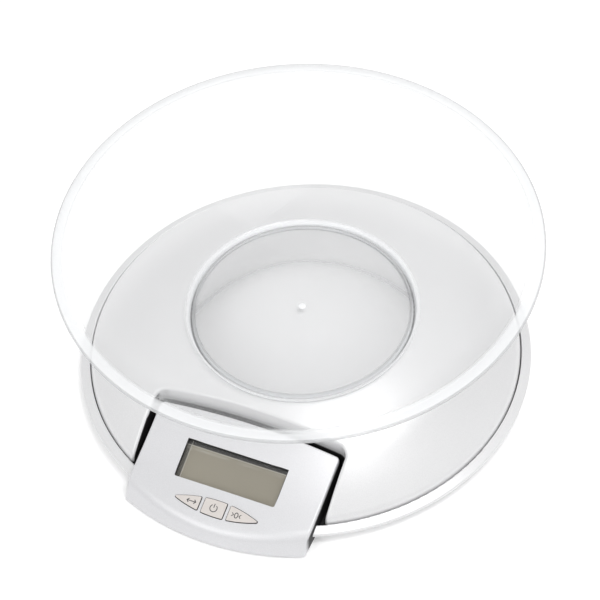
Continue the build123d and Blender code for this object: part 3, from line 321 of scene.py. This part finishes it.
def clear_plastic(settings):
    """Clear polished plastic: seen mostly where it is met at a low angle, and at its thick rim and foot, with
    painted light: a whiter flange and foot, a faint glow in the foot, and a darker tint as painted reflection
    and shade.
    """
    finish = Finish("bowl_clear", roughness=0.05, Specular_IOR_Level=0.6)
    r, z = finish.radius(), finish.axis("Z")
    low_angle = finish.value("ShaderNodeLayerWeight", {}, {"Blend": 0.35}, "Facing")
    flange_start = settings.rim_radius - settings.flange_width
    flange = r.ramp(flange_start - 1.4 * MM, flange_start + 0.4 * MM)
    flange = flange * z.ramp(BOWL_TOP - 4.0 * MM, BOWL_TOP - 3.0 * MM)
    foot = z.ramp(BOWL_FOOT + 3.4 * MM, BOWL_FOOT + 2.4 * MM) * r.ramp(47.0 * MM, 47.6 * MM)
    # painted contact shade along the foot ring's lower edge
    foot_contact_shade = z.ramp(BOWL_FOOT + 0.5 * MM, BOWL_FOOT + 0.2 * MM)
    clouds = finish.grain(9, 1)
    share = settings.haze + clouds * 0.02 + (low_angle ** 3.0) * 0.4
    gate = r.ramp(2.0 * MM, 1.5 * MM) * z.ramp(BOWL_FOOT + 4.2 * MM, BOWL_FOOT + 4.7 * MM)
    # painted light: the flange and the foot are made more solid white for the light they gather
    share = share + flange * settings.rim_white + foot * settings.foot_white + gate * 0.8
    brim = r.ramp(settings.rim_radius - 0.9 * MM, settings.rim_radius - 0.4 * MM)
    # painted reflection and contact shade: a darker tint at low angles, at the brim and on the foot's lower
    # edge
    painted_dark_edges = (low_angle ** 2.0).at_least(foot_contact_shade * foot).at_least(brim)
    # painted light: the foot ring glows faintly in the tint
    finish.set(Base_Color=finish.blend(painted_dark_edges, settings.tint, shade(settings.tint, 0.62)),
               Emission_Color=finish.blend(foot, (0.0, 0.0, 0.0), settings.tint), Emission_Strength=0.12)
    finish.see_through(share.at_most(0.96))
    return finish.material


def window_plastic(settings):
    """The display's clear pane, with a light film of dust."""
    finish = Finish("window_clear", roughness=0.03, Base_Color=(0.9, 0.9, 0.9), Specular_IOR_Level=0.6)
    dust = finish.specks(900).ramp(0.14, 0.02) * finish.grain(120, 2).ramp(0.5, 0.7)
    low_angle = finish.value("ShaderNodeLayerWeight", {}, {"Blend": 0.4}, "Facing")
    finish.see_through(settings.pane_haze + dust * 0.2 + low_angle ** 4.0 * 0.6)
    return finish.material


def display_glass(settings):
    """The liquid-crystal glass: a grey-green polariser, darker towards its top, with a pale line along its
    top and left edges, painted shade on the ledges beyond them at the top and left, and a painted reflection
    streak near the top.
    """
    finish = Finish("display_glass", Specular_IOR_Level=0.5, Coat_Weight=0.3, Coat_Roughness=0.08)
    u, v, _ = finish.on_slope(WINDOW)
    reflector = finish.grain(1800, 1)
    cast = v.ramp(-9.0 * MM, 8.0 * MM) * 0.5 + finish.grain(40, 2) * 0.4 + reflector * 0.15
    top, left = 6.9 * MM, -22.0 * MM
    # painted shade: dark ledges only at the top and left, under the window's rear and left walls
    painted_shade_ledges = v.ramp(top, top + 0.25 * MM).at_least(u.ramp(left, left - 0.25 * MM) * 0.75)
    top_edge = abs(v - top + 0.15 * MM).ramp(0.3 * MM, 0.1 * MM)
    pale_edge_line = top_edge.at_least(abs(u - left - 0.15 * MM).ramp(0.25 * MM, 0.1 * MM))
    glass = finish.blend(cast, settings.glass_colour, shade(settings.glass_colour, 0.86))
    glass = finish.blend(painted_shade_ledges, glass, (0.022, 0.022, 0.02))
    # painted reflection: a pale streak across the glass near its top
    reflection_streak = abs(v - 5.6 * MM).ramp(1.0 * MM, 0.1 * MM) * finish.grain(60, 2).ramp(0.3, 0.7)
    finish.set(
        Base_Color=finish.blend((pale_edge_line * 0.4).at_least(reflection_streak * 0.3), glass, (0.62, 0.60, 0.54)),
        Roughness=0.35 + reflector * 0.1,
        Normal=finish.bump(reflector, 0.00001, 0.5))
    return finish.material


def moulded(name, colour, roughness, speck=0.05, metallic=0.0, scale=1800):
    """Plain moulded plastic or rubber: slight mottling, and the fine grain of its mould."""
    finish = Finish(name, metallic=metallic)
    mottle, grain = finish.grain(70, 3), finish.grain(scale, 2)
    finish.set(
        Base_Color=finish.blend(
            mottle * 0.6 + grain * 0.4, shade(colour, 1 - speck), shade(colour, 1 + speck)),
        Roughness=roughness + mottle * 0.08,
        Normal=finish.bump(grain, 0.00003, 0.5))
    return finish.material


def brushed(name, colour, roughness, along=(1.0, 14.0, 14.0), stain=0.12):
    """Worked metal: fine lines along one direction, and cloudy tarnish."""
    finish = Finish(name, metallic=1.0)
    lines, cloud = finish.grain(900, 2, along), finish.grain(120, 4)
    finish.set(
        Base_Color=finish.blend(cloud, shade(colour, 1 - stain), shade(colour, 1 + stain / 2)),
        Roughness=roughness + lines * 0.15 + cloud * 0.08,
        Normal=finish.bump(lines, 0.00002, 0.6))
    return finish.material


def circuit_board():
    """Green solder mask with copper tracks that show through it, and tinned pads."""
    finish = Finish("board_green", roughness=0.35, Coat_Weight=0.3)
    x, y = finish.axis("X"), finish.axis("Y")
    tracks = abs(x * 420 % 1.0).ramp(0.62, 0.7) * finish.grain(300, 0).ramp(0.5, 0.54)
    cross = abs(y * 360 % 1.0).ramp(0.66, 0.72) * finish.grain(260, 0, (1.0, 1.0, 1.0)).ramp(0.54, 0.5)
    pads = finish.specks(420).ramp(0.17, 0.13)
    green = finish.blend(tracks.at_least(cross), (0.012, 0.13, 0.05), (0.03, 0.24, 0.09))
    finish.set(
        Base_Color=finish.blend(pads, green, (0.6, 0.6, 0.56)),
        Metallic=pads * 0.9,
        Normal=finish.bump(tracks.at_least(cross), 0.00004, 0.6))
    return finish.material


def cell_jacket():
    """A dry cell's wrapper: a dark body with one plain coloured end band and bare metal ends."""
    finish = Finish("cell_jacket", roughness=0.28, Coat_Weight=0.4)
    x = finish.axis("X")
    band = x.ramp(9.0 * MM, 9.2 * MM) * x.ramp(17.2 * MM, 17.0 * MM)
    bare = abs(x).ramp(21.6 * MM, 21.8 * MM)
    scuffs = finish.grain(200, 4, (6.0, 1.0, 1.0)).ramp(0.6, 0.8)
    body = finish.blend(band, (0.035, 0.045, 0.075), (0.55, 0.42, 0.16))
    body = finish.blend(scuffs * 0.3, body, (0.3, 0.3, 0.3))
    finish.set(
        Base_Color=finish.blend(bare, body, (0.7, 0.7, 0.69)),
        Metallic=bare * 0.95 + band * 0.4,
        Roughness=0.25 + scuffs * 0.25)
    return finish.material


def key_plastic(settings):
    """The caps' warm matt plastic, with painted shade: dark low on each cap, in the gap round it."""
    finish = Finish("key_beige")
    mottle, grain = finish.grain(70, 3), finish.grain(1800, 2)
    _, _, out = finish.on_slope(KEYS)
    colour = settings.cap_colour
    cap = finish.blend(mottle * 0.6 + grain * 0.4, shade(colour, 0.965), shade(colour, 1.035))
    finish.set(
        # painted shade: the cap goes dark below its top, in the gap round it
        Base_Color=finish.blend(out.ramp(0.5 * MM, 0.2 * MM), cap, (0.05, 0.045, 0.04)),
        Roughness=0.5 + mottle * 0.08,
        Normal=finish.bump(grain, 0.00003, 0.5))
    return finish.material


def key_print(settings):
    """Dark pad-printed ink, slightly worn."""
    finish = Finish("key_print", roughness=0.55)
    worn = finish.grain(1500, 2).ramp(0.55, 0.8)
    finish.set(Base_Color=finish.blend(worn, settings.print_colour, shade(settings.print_colour, 2.2)))
    return finish.material


def dress(material, *nodes):
    """Puts a finish on CAD nodes, in every material slot."""
    for node in nodes:
        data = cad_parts[node].data
        for place in range(len(data.materials)):
            data.materials[place] = material


# --- Surfaces ---------------------------------------------------------------------------------
def grid_faces(rows, columns, close_rows, close_columns):
    """Quads between neighbouring points of a grid, joined round where a direction closes."""
    i = np.arange(rows if close_rows else rows - 1)
    j = np.arange(columns if close_columns else columns - 1)
    a, b = np.meshgrid(i, j, indexing="ij")
    a2, b2 = (a + 1) % rows, (b + 1) % columns
    corners = (a * columns + b, a * columns + b2, a2 * columns + b2, a2 * columns + b)
    return np.stack([c.ravel() for c in corners], axis=1)


def make_piece(name, points, faces, material, body, slot=None, smooth=True):
    """Makes a mesh, merges its doubles, faces it outwards and lets it ride on its body."""
    mesh = bpy.data.meshes.new(name)
    mesh.from_pydata(points.reshape(-1, 3).tolist(), [], faces.tolist())
    work = bmesh.new()
    work.from_mesh(mesh)
    bmesh.ops.remove_doubles(work, verts=work.verts, dist=1e-7)
    bmesh.ops.recalc_face_normals(work, faces=work.faces)
    work.to_mesh(mesh)
    work.free()
    mesh.polygons.foreach_set("use_smooth", np.full(len(mesh.polygons), smooth))
    mesh.materials.append(material)
    piece = bpy.data.objects.new(name, mesh)
    bpy.context.scene.collection.objects.link(piece)
    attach(piece, body)
    return piece


def arc_points(circle, start, end):
    """Points along a circle, the shorter way from one of its points to another."""
    middle, radius = circle
    first = atan2(*(np.array(start) - middle)[::-1])
    last = atan2(*(np.array(end) - middle)[::-1])
    turn = np.linspace(first, last, WALL_STEPS)[:, None]
    return middle + radius * np.hstack([np.cos(turn), np.sin(turn)])


def round_corners(corners, radii):
    """A closed outline with each corner rounded: an arc's ends lie at radius / tan(half angle) from it."""
    corners = np.array(corners, float)
    before, after = np.roll(corners, 1, 0) - corners, np.roll(corners, -1, 0) - corners
    before /= np.linalg.norm(before, axis=1)[:, None]
    after /= np.linalg.norm(after, axis=1)[:, None]
    half = np.arccos(np.clip((before * after).sum(1), -1, 1)) / 2
    radii = np.array(radii, float)
    reach = radii / np.tan(half)
    middle = (before + after) / np.linalg.norm(before + after, axis=1)[:, None]
    centre = corners + middle * (radii / np.sin(half))[:, None]
    first = corners + before * reach[:, None] - centre
    last = corners + after * reach[:, None] - centre
    t = np.linspace(0, 1, CORNER_STEPS)[None, :, None]
    swing = (pi - 2 * half)[:, None, None]
    spoke = (np.sin((1 - t) * swing) * first[:, None] + np.sin(t * swing) * last[:, None]) / np.sin(swing)
    return (centre[:, None] + spoke).reshape(-1, 2)


def turned(profile):
    """The surface that a profile of radius and height makes round the axis, from the axis and back to it."""
    angle = np.linspace(0, 2 * pi, ROUND_STEPS, endpoint=False)[:, None]
    r, z = profile[:, 0][None, :], profile[:, 1][None, :]
    points = np.stack([r * np.cos(angle), r * np.sin(angle), z + 0 * angle], axis=2)
    return points, grid_faces(ROUND_STEPS, len(profile), True, False)


def laid_on(slope, u, v, lift):
    """Points at u across and v up a slope, lifted square to it."""
    x = slope.middle[0] + u
    y = slope.middle[1] + v * cos(slope.angle) - lift * sin(slope.angle)
    z = slope.middle[2] + v * sin(slope.angle) + lift * cos(slope.angle)
    return np.stack([x, y, z], axis=-1)


def stroke(path, width, low, high, closed):
    """A printed line: a flat box section of this width, carried along a path on the keys' slope.

    Each section is square to the mean of the runs before and after it.
    """
    path = np.array(path, float)
    if closed:
        run = np.roll(path, -1, 0) - np.roll(path, 1, 0)
    else:
        run = np.gradient(path, axis=0)
    run /= np.linalg.norm(run, axis=1)[:, None]
    across = np.stack([-run[:, 1], run[:, 0]], axis=1) * width / 2
    sides = np.stack([path + across, path - across, path - across, path + across], axis=1)
    lift = np.broadcast_to([low, low, high, high], sides.shape[:2])
    points = laid_on(KEYS, sides[..., 0], sides[..., 1], lift)
    faces = grid_faces(len(path), 4, closed, True)
    if not closed:
        last = 4 * (len(path) - 1)
        ends = np.array([[0, 1, 2, 3], [last + 3, last + 2, last + 1, last]])
        faces = np.vstack([faces, ends])
    return points.reshape(-1, 3), faces


def ellipse(u, v, half_u, half_v, first=0.0, last=2 * pi):
    """Points round an ellipse: its middle, plus its half axes times the angle's cosine and sine."""
    angle = np.linspace(first, last, RING_STEPS, endpoint=last - first < 2 * pi - 1e-6)
    return np.stack([u + half_u * np.cos(angle), v + half_v * np.sin(angle)], axis=1)


def joined(parts):
    """Several sets of points and faces as one."""
    starts = np.cumsum([0] + [len(points) for points, _ in parts])
    return np.vstack([p for p, _ in parts]), np.vstack([f + n for (_, f), n in zip(parts, starts)])


# --- Sizes and colours ------------------------------------------------------------------------
class ShellSettings(bpy.types.PropertyGroup):
    shell_colour: bpy.props.FloatVectorProperty(
        name="Shell silver", description="Colour of the base and the platform",
        default=(0.82, 0.82, 0.825), size=3, min=0, max=1, subtype="COLOR")
    panel_colour: bpy.props.FloatVectorProperty(
        name="Panel silver", description="Colour of the control panel",
        default=(0.75, 0.75, 0.765), size=3, min=0, max=1, subtype="COLOR")
    metal: bpy.props.FloatProperty(
        name="Metal share", description="How metallic the silver looks",
        default=0.2, min=0, max=1, subtype="FACTOR")
    gloss_loss: bpy.props.FloatProperty(
        name="Roughness", description="Lowest roughness of the satin surface",
        default=0.30, min=0, max=1, subtype="FACTOR")
    texture: bpy.props.FloatProperty(
        name="Texture", description="Strength of the mould's fine texture",
        default=0.75, min=0, max=1, subtype="FACTOR")


class BowlSettings(bpy.types.PropertyGroup):
    tint: bpy.props.FloatVectorProperty(
        name="Tint", description="Colour of the clear plastic where it shows",
        default=(0.95, 0.96, 0.97), size=3, min=0, max=1, subtype="COLOR")
    rim_radius: bpy.props.FloatProperty(
        name="Rim radius", description="Outer edge of the flange",
        default=106.2 * MM, unit="LENGTH")
    flange_width: bpy.props.FloatProperty(
        name="Flange width", description="How far the flange stands out from the wall",
        default=4.7 * MM, unit="LENGTH")
    wall: bpy.props.FloatProperty(
        name="Wall", description="Thickness of the wall and the floor",
        default=2.0 * MM, unit="LENGTH")
    droop: bpy.props.FloatProperty(
        name="Droop", description="How far the flange's edge hangs below its top",
        default=0.8 * MM, unit="LENGTH")
    foot_radius: bpy.props.FloatProperty(
        name="Foot radius", description="Outside of the foot ring",
        default=50.0 * MM, unit="LENGTH")
    foot_wall: bpy.props.FloatProperty(
        name="Foot wall", description="Thickness of the foot ring",
        default=2.2 * MM, unit="LENGTH")
    foot_height: bpy.props.FloatProperty(
        name="Foot height", description="Height of the foot ring under the floor",
        default=2.6 * MM, unit="LENGTH")
    start_slope: bpy.props.FloatProperty(
        name="Start slope", description="How steeply the wall leaves the foot",
        default=radians(18), subtype="ANGLE", unit="ROTATION")
    haze: bpy.props.FloatProperty(
        name="Haze", description="How much of the wall shows face on",
        default=0.05, min=0, max=1, subtype="FACTOR")
    rim_white: bpy.props.FloatProperty(
        name="Rim whiteness", description="How much light the flange gathers",
        default=0.5, min=0, max=1, subtype="FACTOR")
    foot_white: bpy.props.FloatProperty(
        name="Foot whiteness", description="How much light the foot ring gathers",
        default=0.75, min=0, max=1, subtype="FACTOR")


class DisplaySettings(bpy.types.PropertyGroup):
    glass_colour: bpy.props.FloatVectorProperty(
        name="Glass", description="Colour of the display glass",
        default=(0.30, 0.272, 0.205), size=3, min=0, max=1, subtype="COLOR")
    pane_haze: bpy.props.FloatProperty(
        name="Pane haze", description="How much of the clear pane shows face on",
        default=0.03, min=0, max=1, subtype="FACTOR")


class KeySettings(bpy.types.PropertyGroup):
    cap_colour: bpy.props.FloatVectorProperty(
        name="Cap", description="Colour of the button caps",
        default=(0.70, 0.655, 0.62), size=3, min=0, max=1, subtype="COLOR")
    print_colour: bpy.props.FloatVectorProperty(
        name="Print", description="Colour of the marks on the caps",
        default=(0.05, 0.05, 0.055), size=3, min=0, max=1, subtype="COLOR")
    line: bpy.props.FloatProperty(
        name="Line", description="Width of the printed lines",
        default=0.36 * MM, unit="LENGTH")


class StudioSettings(bpy.types.PropertyGroup):
    lens: bpy.props.FloatProperty(
        name="Lens", description="Focal length in millimetres on a 36 mm sensor",
        default=216.06, min=1)
    eye: bpy.props.FloatVectorProperty(
        name="Camera", description="Where the camera stands",
        default=(0.4503, -0.8952, 1.2531), size=3, subtype="TRANSLATION", unit="LENGTH")
    target: bpy.props.FloatVectorProperty(
        name="Target", description="The point in the middle of the view",
        default=(-0.0007, -0.0003, 0.0432), size=3, subtype="TRANSLATION", unit="LENGTH")
    roll: bpy.props.FloatProperty(
        name="Roll", description="How far the camera is turned about its own line of sight",
        default=radians(-4.11), subtype="ANGLE", unit="ROTATION")
    sky: bpy.props.FloatProperty(
        name="Surround", description="Strength of the even light all round",
        default=0.64, min=0)
    key_light: bpy.props.FloatProperty(
        name="Main light", description="Power of the large soft light",
        default=11.0, min=0, subtype="POWER")


def settings(name):
    """One group of the scale's settings on the current scene."""
    return getattr(bpy.context.scene, "scale_" + name)


def bowl_profile(given):
    """The bowl's section: from the axis under its floor, round the foot, up, over the flange and back.

    The walls are arcs that leave the foot at a slope. Rim, flange and foot are rounded corners.
    """
    wall = given.wall
    floor = BOWL_FOOT + given.foot_height
    foot_r, rim_r = given.foot_radius, given.rim_radius
    wall_top = (rim_r - given.flange_width, BOWL_TOP - wall)
    outer = arc_circle((foot_r, floor), wall_top, given.start_slope)
    inner = (outer[0], outer[1] - wall)
    inner_r = wall_top[0] - wall
    inner_z = inner[0][1] - (inner[1] ** 2 - (inner_r - inner[0][0]) ** 2) ** 0.5
    start_z = inner[0][1] - (inner[1] ** 2 - (foot_r - inner[0][0]) ** 2) ** 0.5
    droop = BOWL_TOP - given.droop
    foot_in = foot_r - given.foot_wall
    foot = round_corners(
        [(foot_in, floor), (foot_in, BOWL_FOOT), (foot_r, BOWL_FOOT), (foot_r, floor)],
        [0.4 * MM, 0.7 * MM, 0.7 * MM, NO_ROUNDING])[:-CORNER_STEPS]
    flange = round_corners(
        [wall_top, (rim_r, droop - wall), (rim_r, droop), (inner_r, BOWL_TOP), (inner_r, inner_z - wall)],
        [0.5 * MM, 0.7 * MM, 0.7 * MM, 1.0 * MM, NO_ROUNDING])[CORNER_STEPS:-CORNER_STEPS]
    mark_top = floor + wall + 0.4 * MM
    mark = [(1.5 * MM, floor + wall), (1.0 * MM, mark_top), (0.0, mark_top)]
    return np.vstack([
        [(0.0, floor)], foot, arc_points(outer, (foot_r, floor), wall_top), flange,
        arc_points(inner, (inner_r, inner_z), (foot_r, start_z)), [(foot_r - wall, floor + wall)], mark])


def key_marks():
    """Plain generic marks in millimetres on the keys' slope: change of unit, power, back to zero.

    Each line is its points and whether it closes.
    """
    return {
        "left": [([(-13.6, -0.1), (-12.6, -0.1), (-10.4, -0.1), (-9.4, -0.1)], False),
                 ([(-12.7, 0.8), (-13.15, 0.35), (-13.6, -0.1), (-13.15, -0.55), (-12.7, -1.0)], False),
                 ([(-10.3, 0.8), (-9.85, 0.35), (-9.4, -0.1), (-9.85, -0.55), (-10.3, -1.0)], False)],
        "middle": [(ellipse(-1.05, -0.15, 1.6, 1.6, radians(125), radians(415)), False),
                   ([(-1.05, 0.1), (-1.05, 0.7), (-1.05, 1.3), (-1.05, 1.9)], False)],
        "right": [(ellipse(9.6, -0.1, 0.75, 1.15), True),
                  ([(7.5, 0.7), (7.9, 0.3), (8.3, -0.1), (7.9, -0.5), (7.5, -0.9)], False),
                  ([(11.7, 0.7), (11.3, 0.3), (10.9, -0.1), (11.3, -0.5), (11.7, -0.9)], False)],
    }


# --- Operators --------------------------------------------------------------------------------
class SCALE_OT_shell(bpy.types.Operator):
    """Finish the base, the platform, the control panel and the battery door in satin silver"""
    bl_idname = "kitchen_scale.shell"
    bl_label = "Silver shell"

    def execute(self, context):
        given = settings("shell")
        dress(satin_silver("silver_platform", given.shell_colour, given, platform_painted_shade), "platform")
        dress(satin_silver("silver_base", given.shell_colour, given, base_painted_shade), "base_shell")
        dress(satin_silver("silver_panel", given.panel_colour, given, panel_painted_shade), "panel_cover")
        dress(satin_silver("silver_door", given.shell_colour, given), "battery_door")
        dress(moulded("foot_rubber", (0.09, 0.09, 0.09), 0.75, 0.2), "rubber_feet")
        return {"FINISHED"}


class SCALE_OT_bowl(bpy.types.Operator):
    """Make the clear bowl as one turned surface with a rolled flange, a foot ring and its gate mark"""
    bl_idname = "kitchen_scale.bowl"
    bl_label = "Clear bowl"

    def execute(self, context):
        given = settings("bowl")
        points, faces = turned(bowl_profile(given))
        bowl = make_piece("clear_bowl", points, faces, clear_plastic(given), "bowl", "clear_plastic")
        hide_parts("bowl")
        return {"FINISHED"}


class SCALE_OT_display(bpy.types.Operator):
    """Finish the display: pane, glass and frame"""
    bl_idname = "kitchen_scale.display"
    bl_label = "Display"

    def execute(self, context):
        given = settings("display")
        dress(window_plastic(given), "display_pane")
        dress(display_glass(given), "lcd_glass")
        dress(moulded("frame_black", (0.012, 0.012, 0.013), 0.42, 0.2), "lcd_frame")
        return {"FINISHED"}


class SCALE_OT_keys(bpy.types.Operator):
    """Finish the button caps and print their marks"""
    bl_idname = "kitchen_scale.keys"
    bl_label = "Buttons"

    def execute(self, context):
        given = settings("keys")
        dress(key_plastic(given), "button_left", "button_middle", "button_right")
        ink = key_print(given)
        for side, lines in key_marks().items():
            parts = [stroke(np.array(path) * MM, given.line, CAP_TOP, INK_TOP, closed)
                     for path, closed in lines]
            make_piece("mark_" + side, *joined(parts), ink, "button_" + side, smooth=False)
        return {"FINISHED"}


class SCALE_OT_inside(bpy.types.Operator):
    """Finish the pieces inside the shell: load cell, brackets, screws, boards, cells and leads"""
    bl_idname = "kitchen_scale.inside"
    bl_label = "Inside pieces"

    def execute(self, context):
        dress(circuit_board(), "main_board", "key_board")
        dress(moulded("chip_black", (0.02, 0.02, 0.022), 0.55, 0.2), "board_chips")
        dress(moulded("strip_rubber", (0.06, 0.06, 0.06), 0.7, 0.25, scale=3500), "contact_strips")
        dress(moulded("dome_rubber", (0.62, 0.62, 0.58), 0.6), "key_dome_left", "key_dome_middle",
              "key_dome_right")
        dress(moulded("potting", (0.78, 0.77, 0.70), 0.4, 0.08), "gauge_pads")
        dress(moulded("lead_sleeve", (0.62, 0.62, 0.63), 0.45, 0.06), "load_cell_lead", "battery_lead")
        dress(moulded("ribbon_film", (0.72, 0.62, 0.38), 0.3, 0.1), "board_ribbon")
        dress(brushed("beam_aluminium", (0.80, 0.80, 0.81), 0.28, (1.0, 9.0, 9.0)), "load_cell")
        dress(brushed("steel_plate", (0.60, 0.60, 0.61), 0.33), "platform_bracket", "upper_spacer",
              "lower_spacer")
        dress(brushed("screw_steel", (0.55, 0.55, 0.57), 0.3, (9.0, 9.0, 1.0), 0.25), "bracket_screws",
              "upper_cell_screws", "lower_cell_screws", "overload_stop", "panel_screws", "board_screws")
        dress(brushed("nickel", (0.72, 0.70, 0.66), 0.2, (3.0, 3.0, 3.0)), "contact_springs",
              "contact_plates")
        dress(cell_jacket(), "battery_left", "battery_right")
        return {"FINISHED"}


class SCALE_OT_studio(bpy.types.Operator):
    """Set up the floor, the soft lights and the camera"""
    bl_idname = "kitchen_scale.studio"
    bl_label = "Studio"

    def execute(self, context):
        given = settings("studio")
        context.scene.view_settings.view_transform = "Standard"
        add_surround(given.sky)
        add_floor()
        for name, place, size, share in LIGHTS:
            add_light(name, place, size, given.key_light * share)
        add_camera(given)
        return {"FINISHED"}


def add_surround(strength):
    """Even light all round, a little darker low down than overhead."""
    world = bpy.data.worlds.new("surround")
    sky = Tree(world)
    place = sky.node("ShaderNodeTexCoord").outputs["Generated"]
    height = sky.value("ShaderNodeSeparateXYZ", {}, {0: place}, "Z")
    colour = sky.blend(height.ramp(0.1, 0.8), (0.86, 0.86, 0.87), (1.0, 1.0, 1.0))
    light = sky.node("ShaderNodeBackground", {}, {"Color": colour, "Strength": strength})
    sky.node("ShaderNodeOutputWorld", {}, {"Surface": light.outputs[0]})
    bpy.context.scene.world = world


def add_floor():
    """A wide pale floor, which glows a little so that shadows on it stay soft."""
    half = 4.0
    corners = [(-half, -half, 0), (half, -half, 0), (half, half, 0), (-half, half, 0)]
    mesh = bpy.data.meshes.new("floor")
    mesh.from_pydata(corners, [], [(0, 1, 2, 3)])
    finish = Finish("floor_white", roughness=0.9, Specular_IOR_Level=0.1)
    finish.set(Base_Color=finish.blend(finish.grain(3, 1), (0.89, 0.89, 0.89), (0.9, 0.9, 0.9)),
               Emission_Color=(1.0, 1.0, 1.0), Emission_Strength=0.18)
    mesh.materials.append(finish.material)
    floor = bpy.data.objects.new("floor", mesh)
    bpy.context.scene.collection.objects.link(floor)


def add_light(name, place, size, power):
    """A square soft light that points at the scale."""
    lamp = bpy.data.lights.new(name, "AREA")
    lamp.size = size
    lamp.energy = power
    light = bpy.data.objects.new(name, lamp)
    light.location = place
    light.rotation_euler = (-Vector(place)).to_track_quat("-Z", "Y").to_euler()
    bpy.context.scene.collection.objects.link(light)


def add_camera(given):
    """The camera: its line of sight from the eye to the target, then rolled about that line."""
    eye, target = Vector(given.eye), Vector(given.target)
    forward = (target - eye).normalized()
    right = forward.cross(Vector((0, 0, 1))).normalized()
    up = right.cross(forward)
    turned_right = right * cos(given.roll) + up * sin(given.roll)
    turned_up = up * cos(given.roll) - right * sin(given.roll)
    lens = bpy.data.cameras.new("camera")
    lens.lens = given.lens
    lens.sensor_width = 36.0
    lens.clip_start, lens.clip_end = 0.05, 50.0
    camera = bpy.data.objects.new("camera", lens)
    basis = Matrix((turned_right, turned_up, -forward)).transposed().to_4x4()
    camera.matrix_world = Matrix.Translation(eye) @ basis
    bpy.context.scene.collection.objects.link(camera)
    bpy.context.scene.camera = camera


class SCALE_PT_panel(bpy.types.Panel):
    """Lists the scale's pieces, each with its settings"""
    bl_idname = "SCALE_PT_panel"
    bl_label = "Kitchen scale"
    bl_space_type = "VIEW_3D"
    bl_region_type = "UI"
    bl_category = "Kitchen scale"

    def draw(self, context):
        for step, group in STEPS:
            box = self.layout.box()
            box.operator(step.bl_idname)
            if group:
                given = settings(group)
                for key in given.bl_rna.properties.keys():
                    if key not in ("rna_type", "name"):
                        box.prop(given, key)


GROUPS = {"shell": ShellSettings, "bowl": BowlSettings, "display": DisplaySettings,
          "keys": KeySettings, "studio": StudioSettings}
STEPS = ((SCALE_OT_studio, "studio"), (SCALE_OT_shell, "shell"), (SCALE_OT_bowl, "bowl"),
         (SCALE_OT_display, "display"), (SCALE_OT_keys, "keys"), (SCALE_OT_inside, None))
CLASSES = (*GROUPS.values(), *(step for step, _ in STEPS), SCALE_PT_panel)


def register():
    for item in CLASSES:
        bpy.utils.register_class(item)
    for name, group in GROUPS.items():
        setattr(bpy.types.Scene, "scale_" + name, bpy.props.PointerProperty(type=group))


def unregister():
    for name in GROUPS:
        delattr(bpy.types.Scene, "scale_" + name)
    for item in reversed(CLASSES):
        bpy.utils.unregister_class(item)


def main():
    """Registers the add-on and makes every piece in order."""
    register()
    for step, _ in STEPS:
        group, name = step.bl_idname.split(".")
        getattr(getattr(bpy.ops, group), name)()


if __name__ == "__main__":
    main()
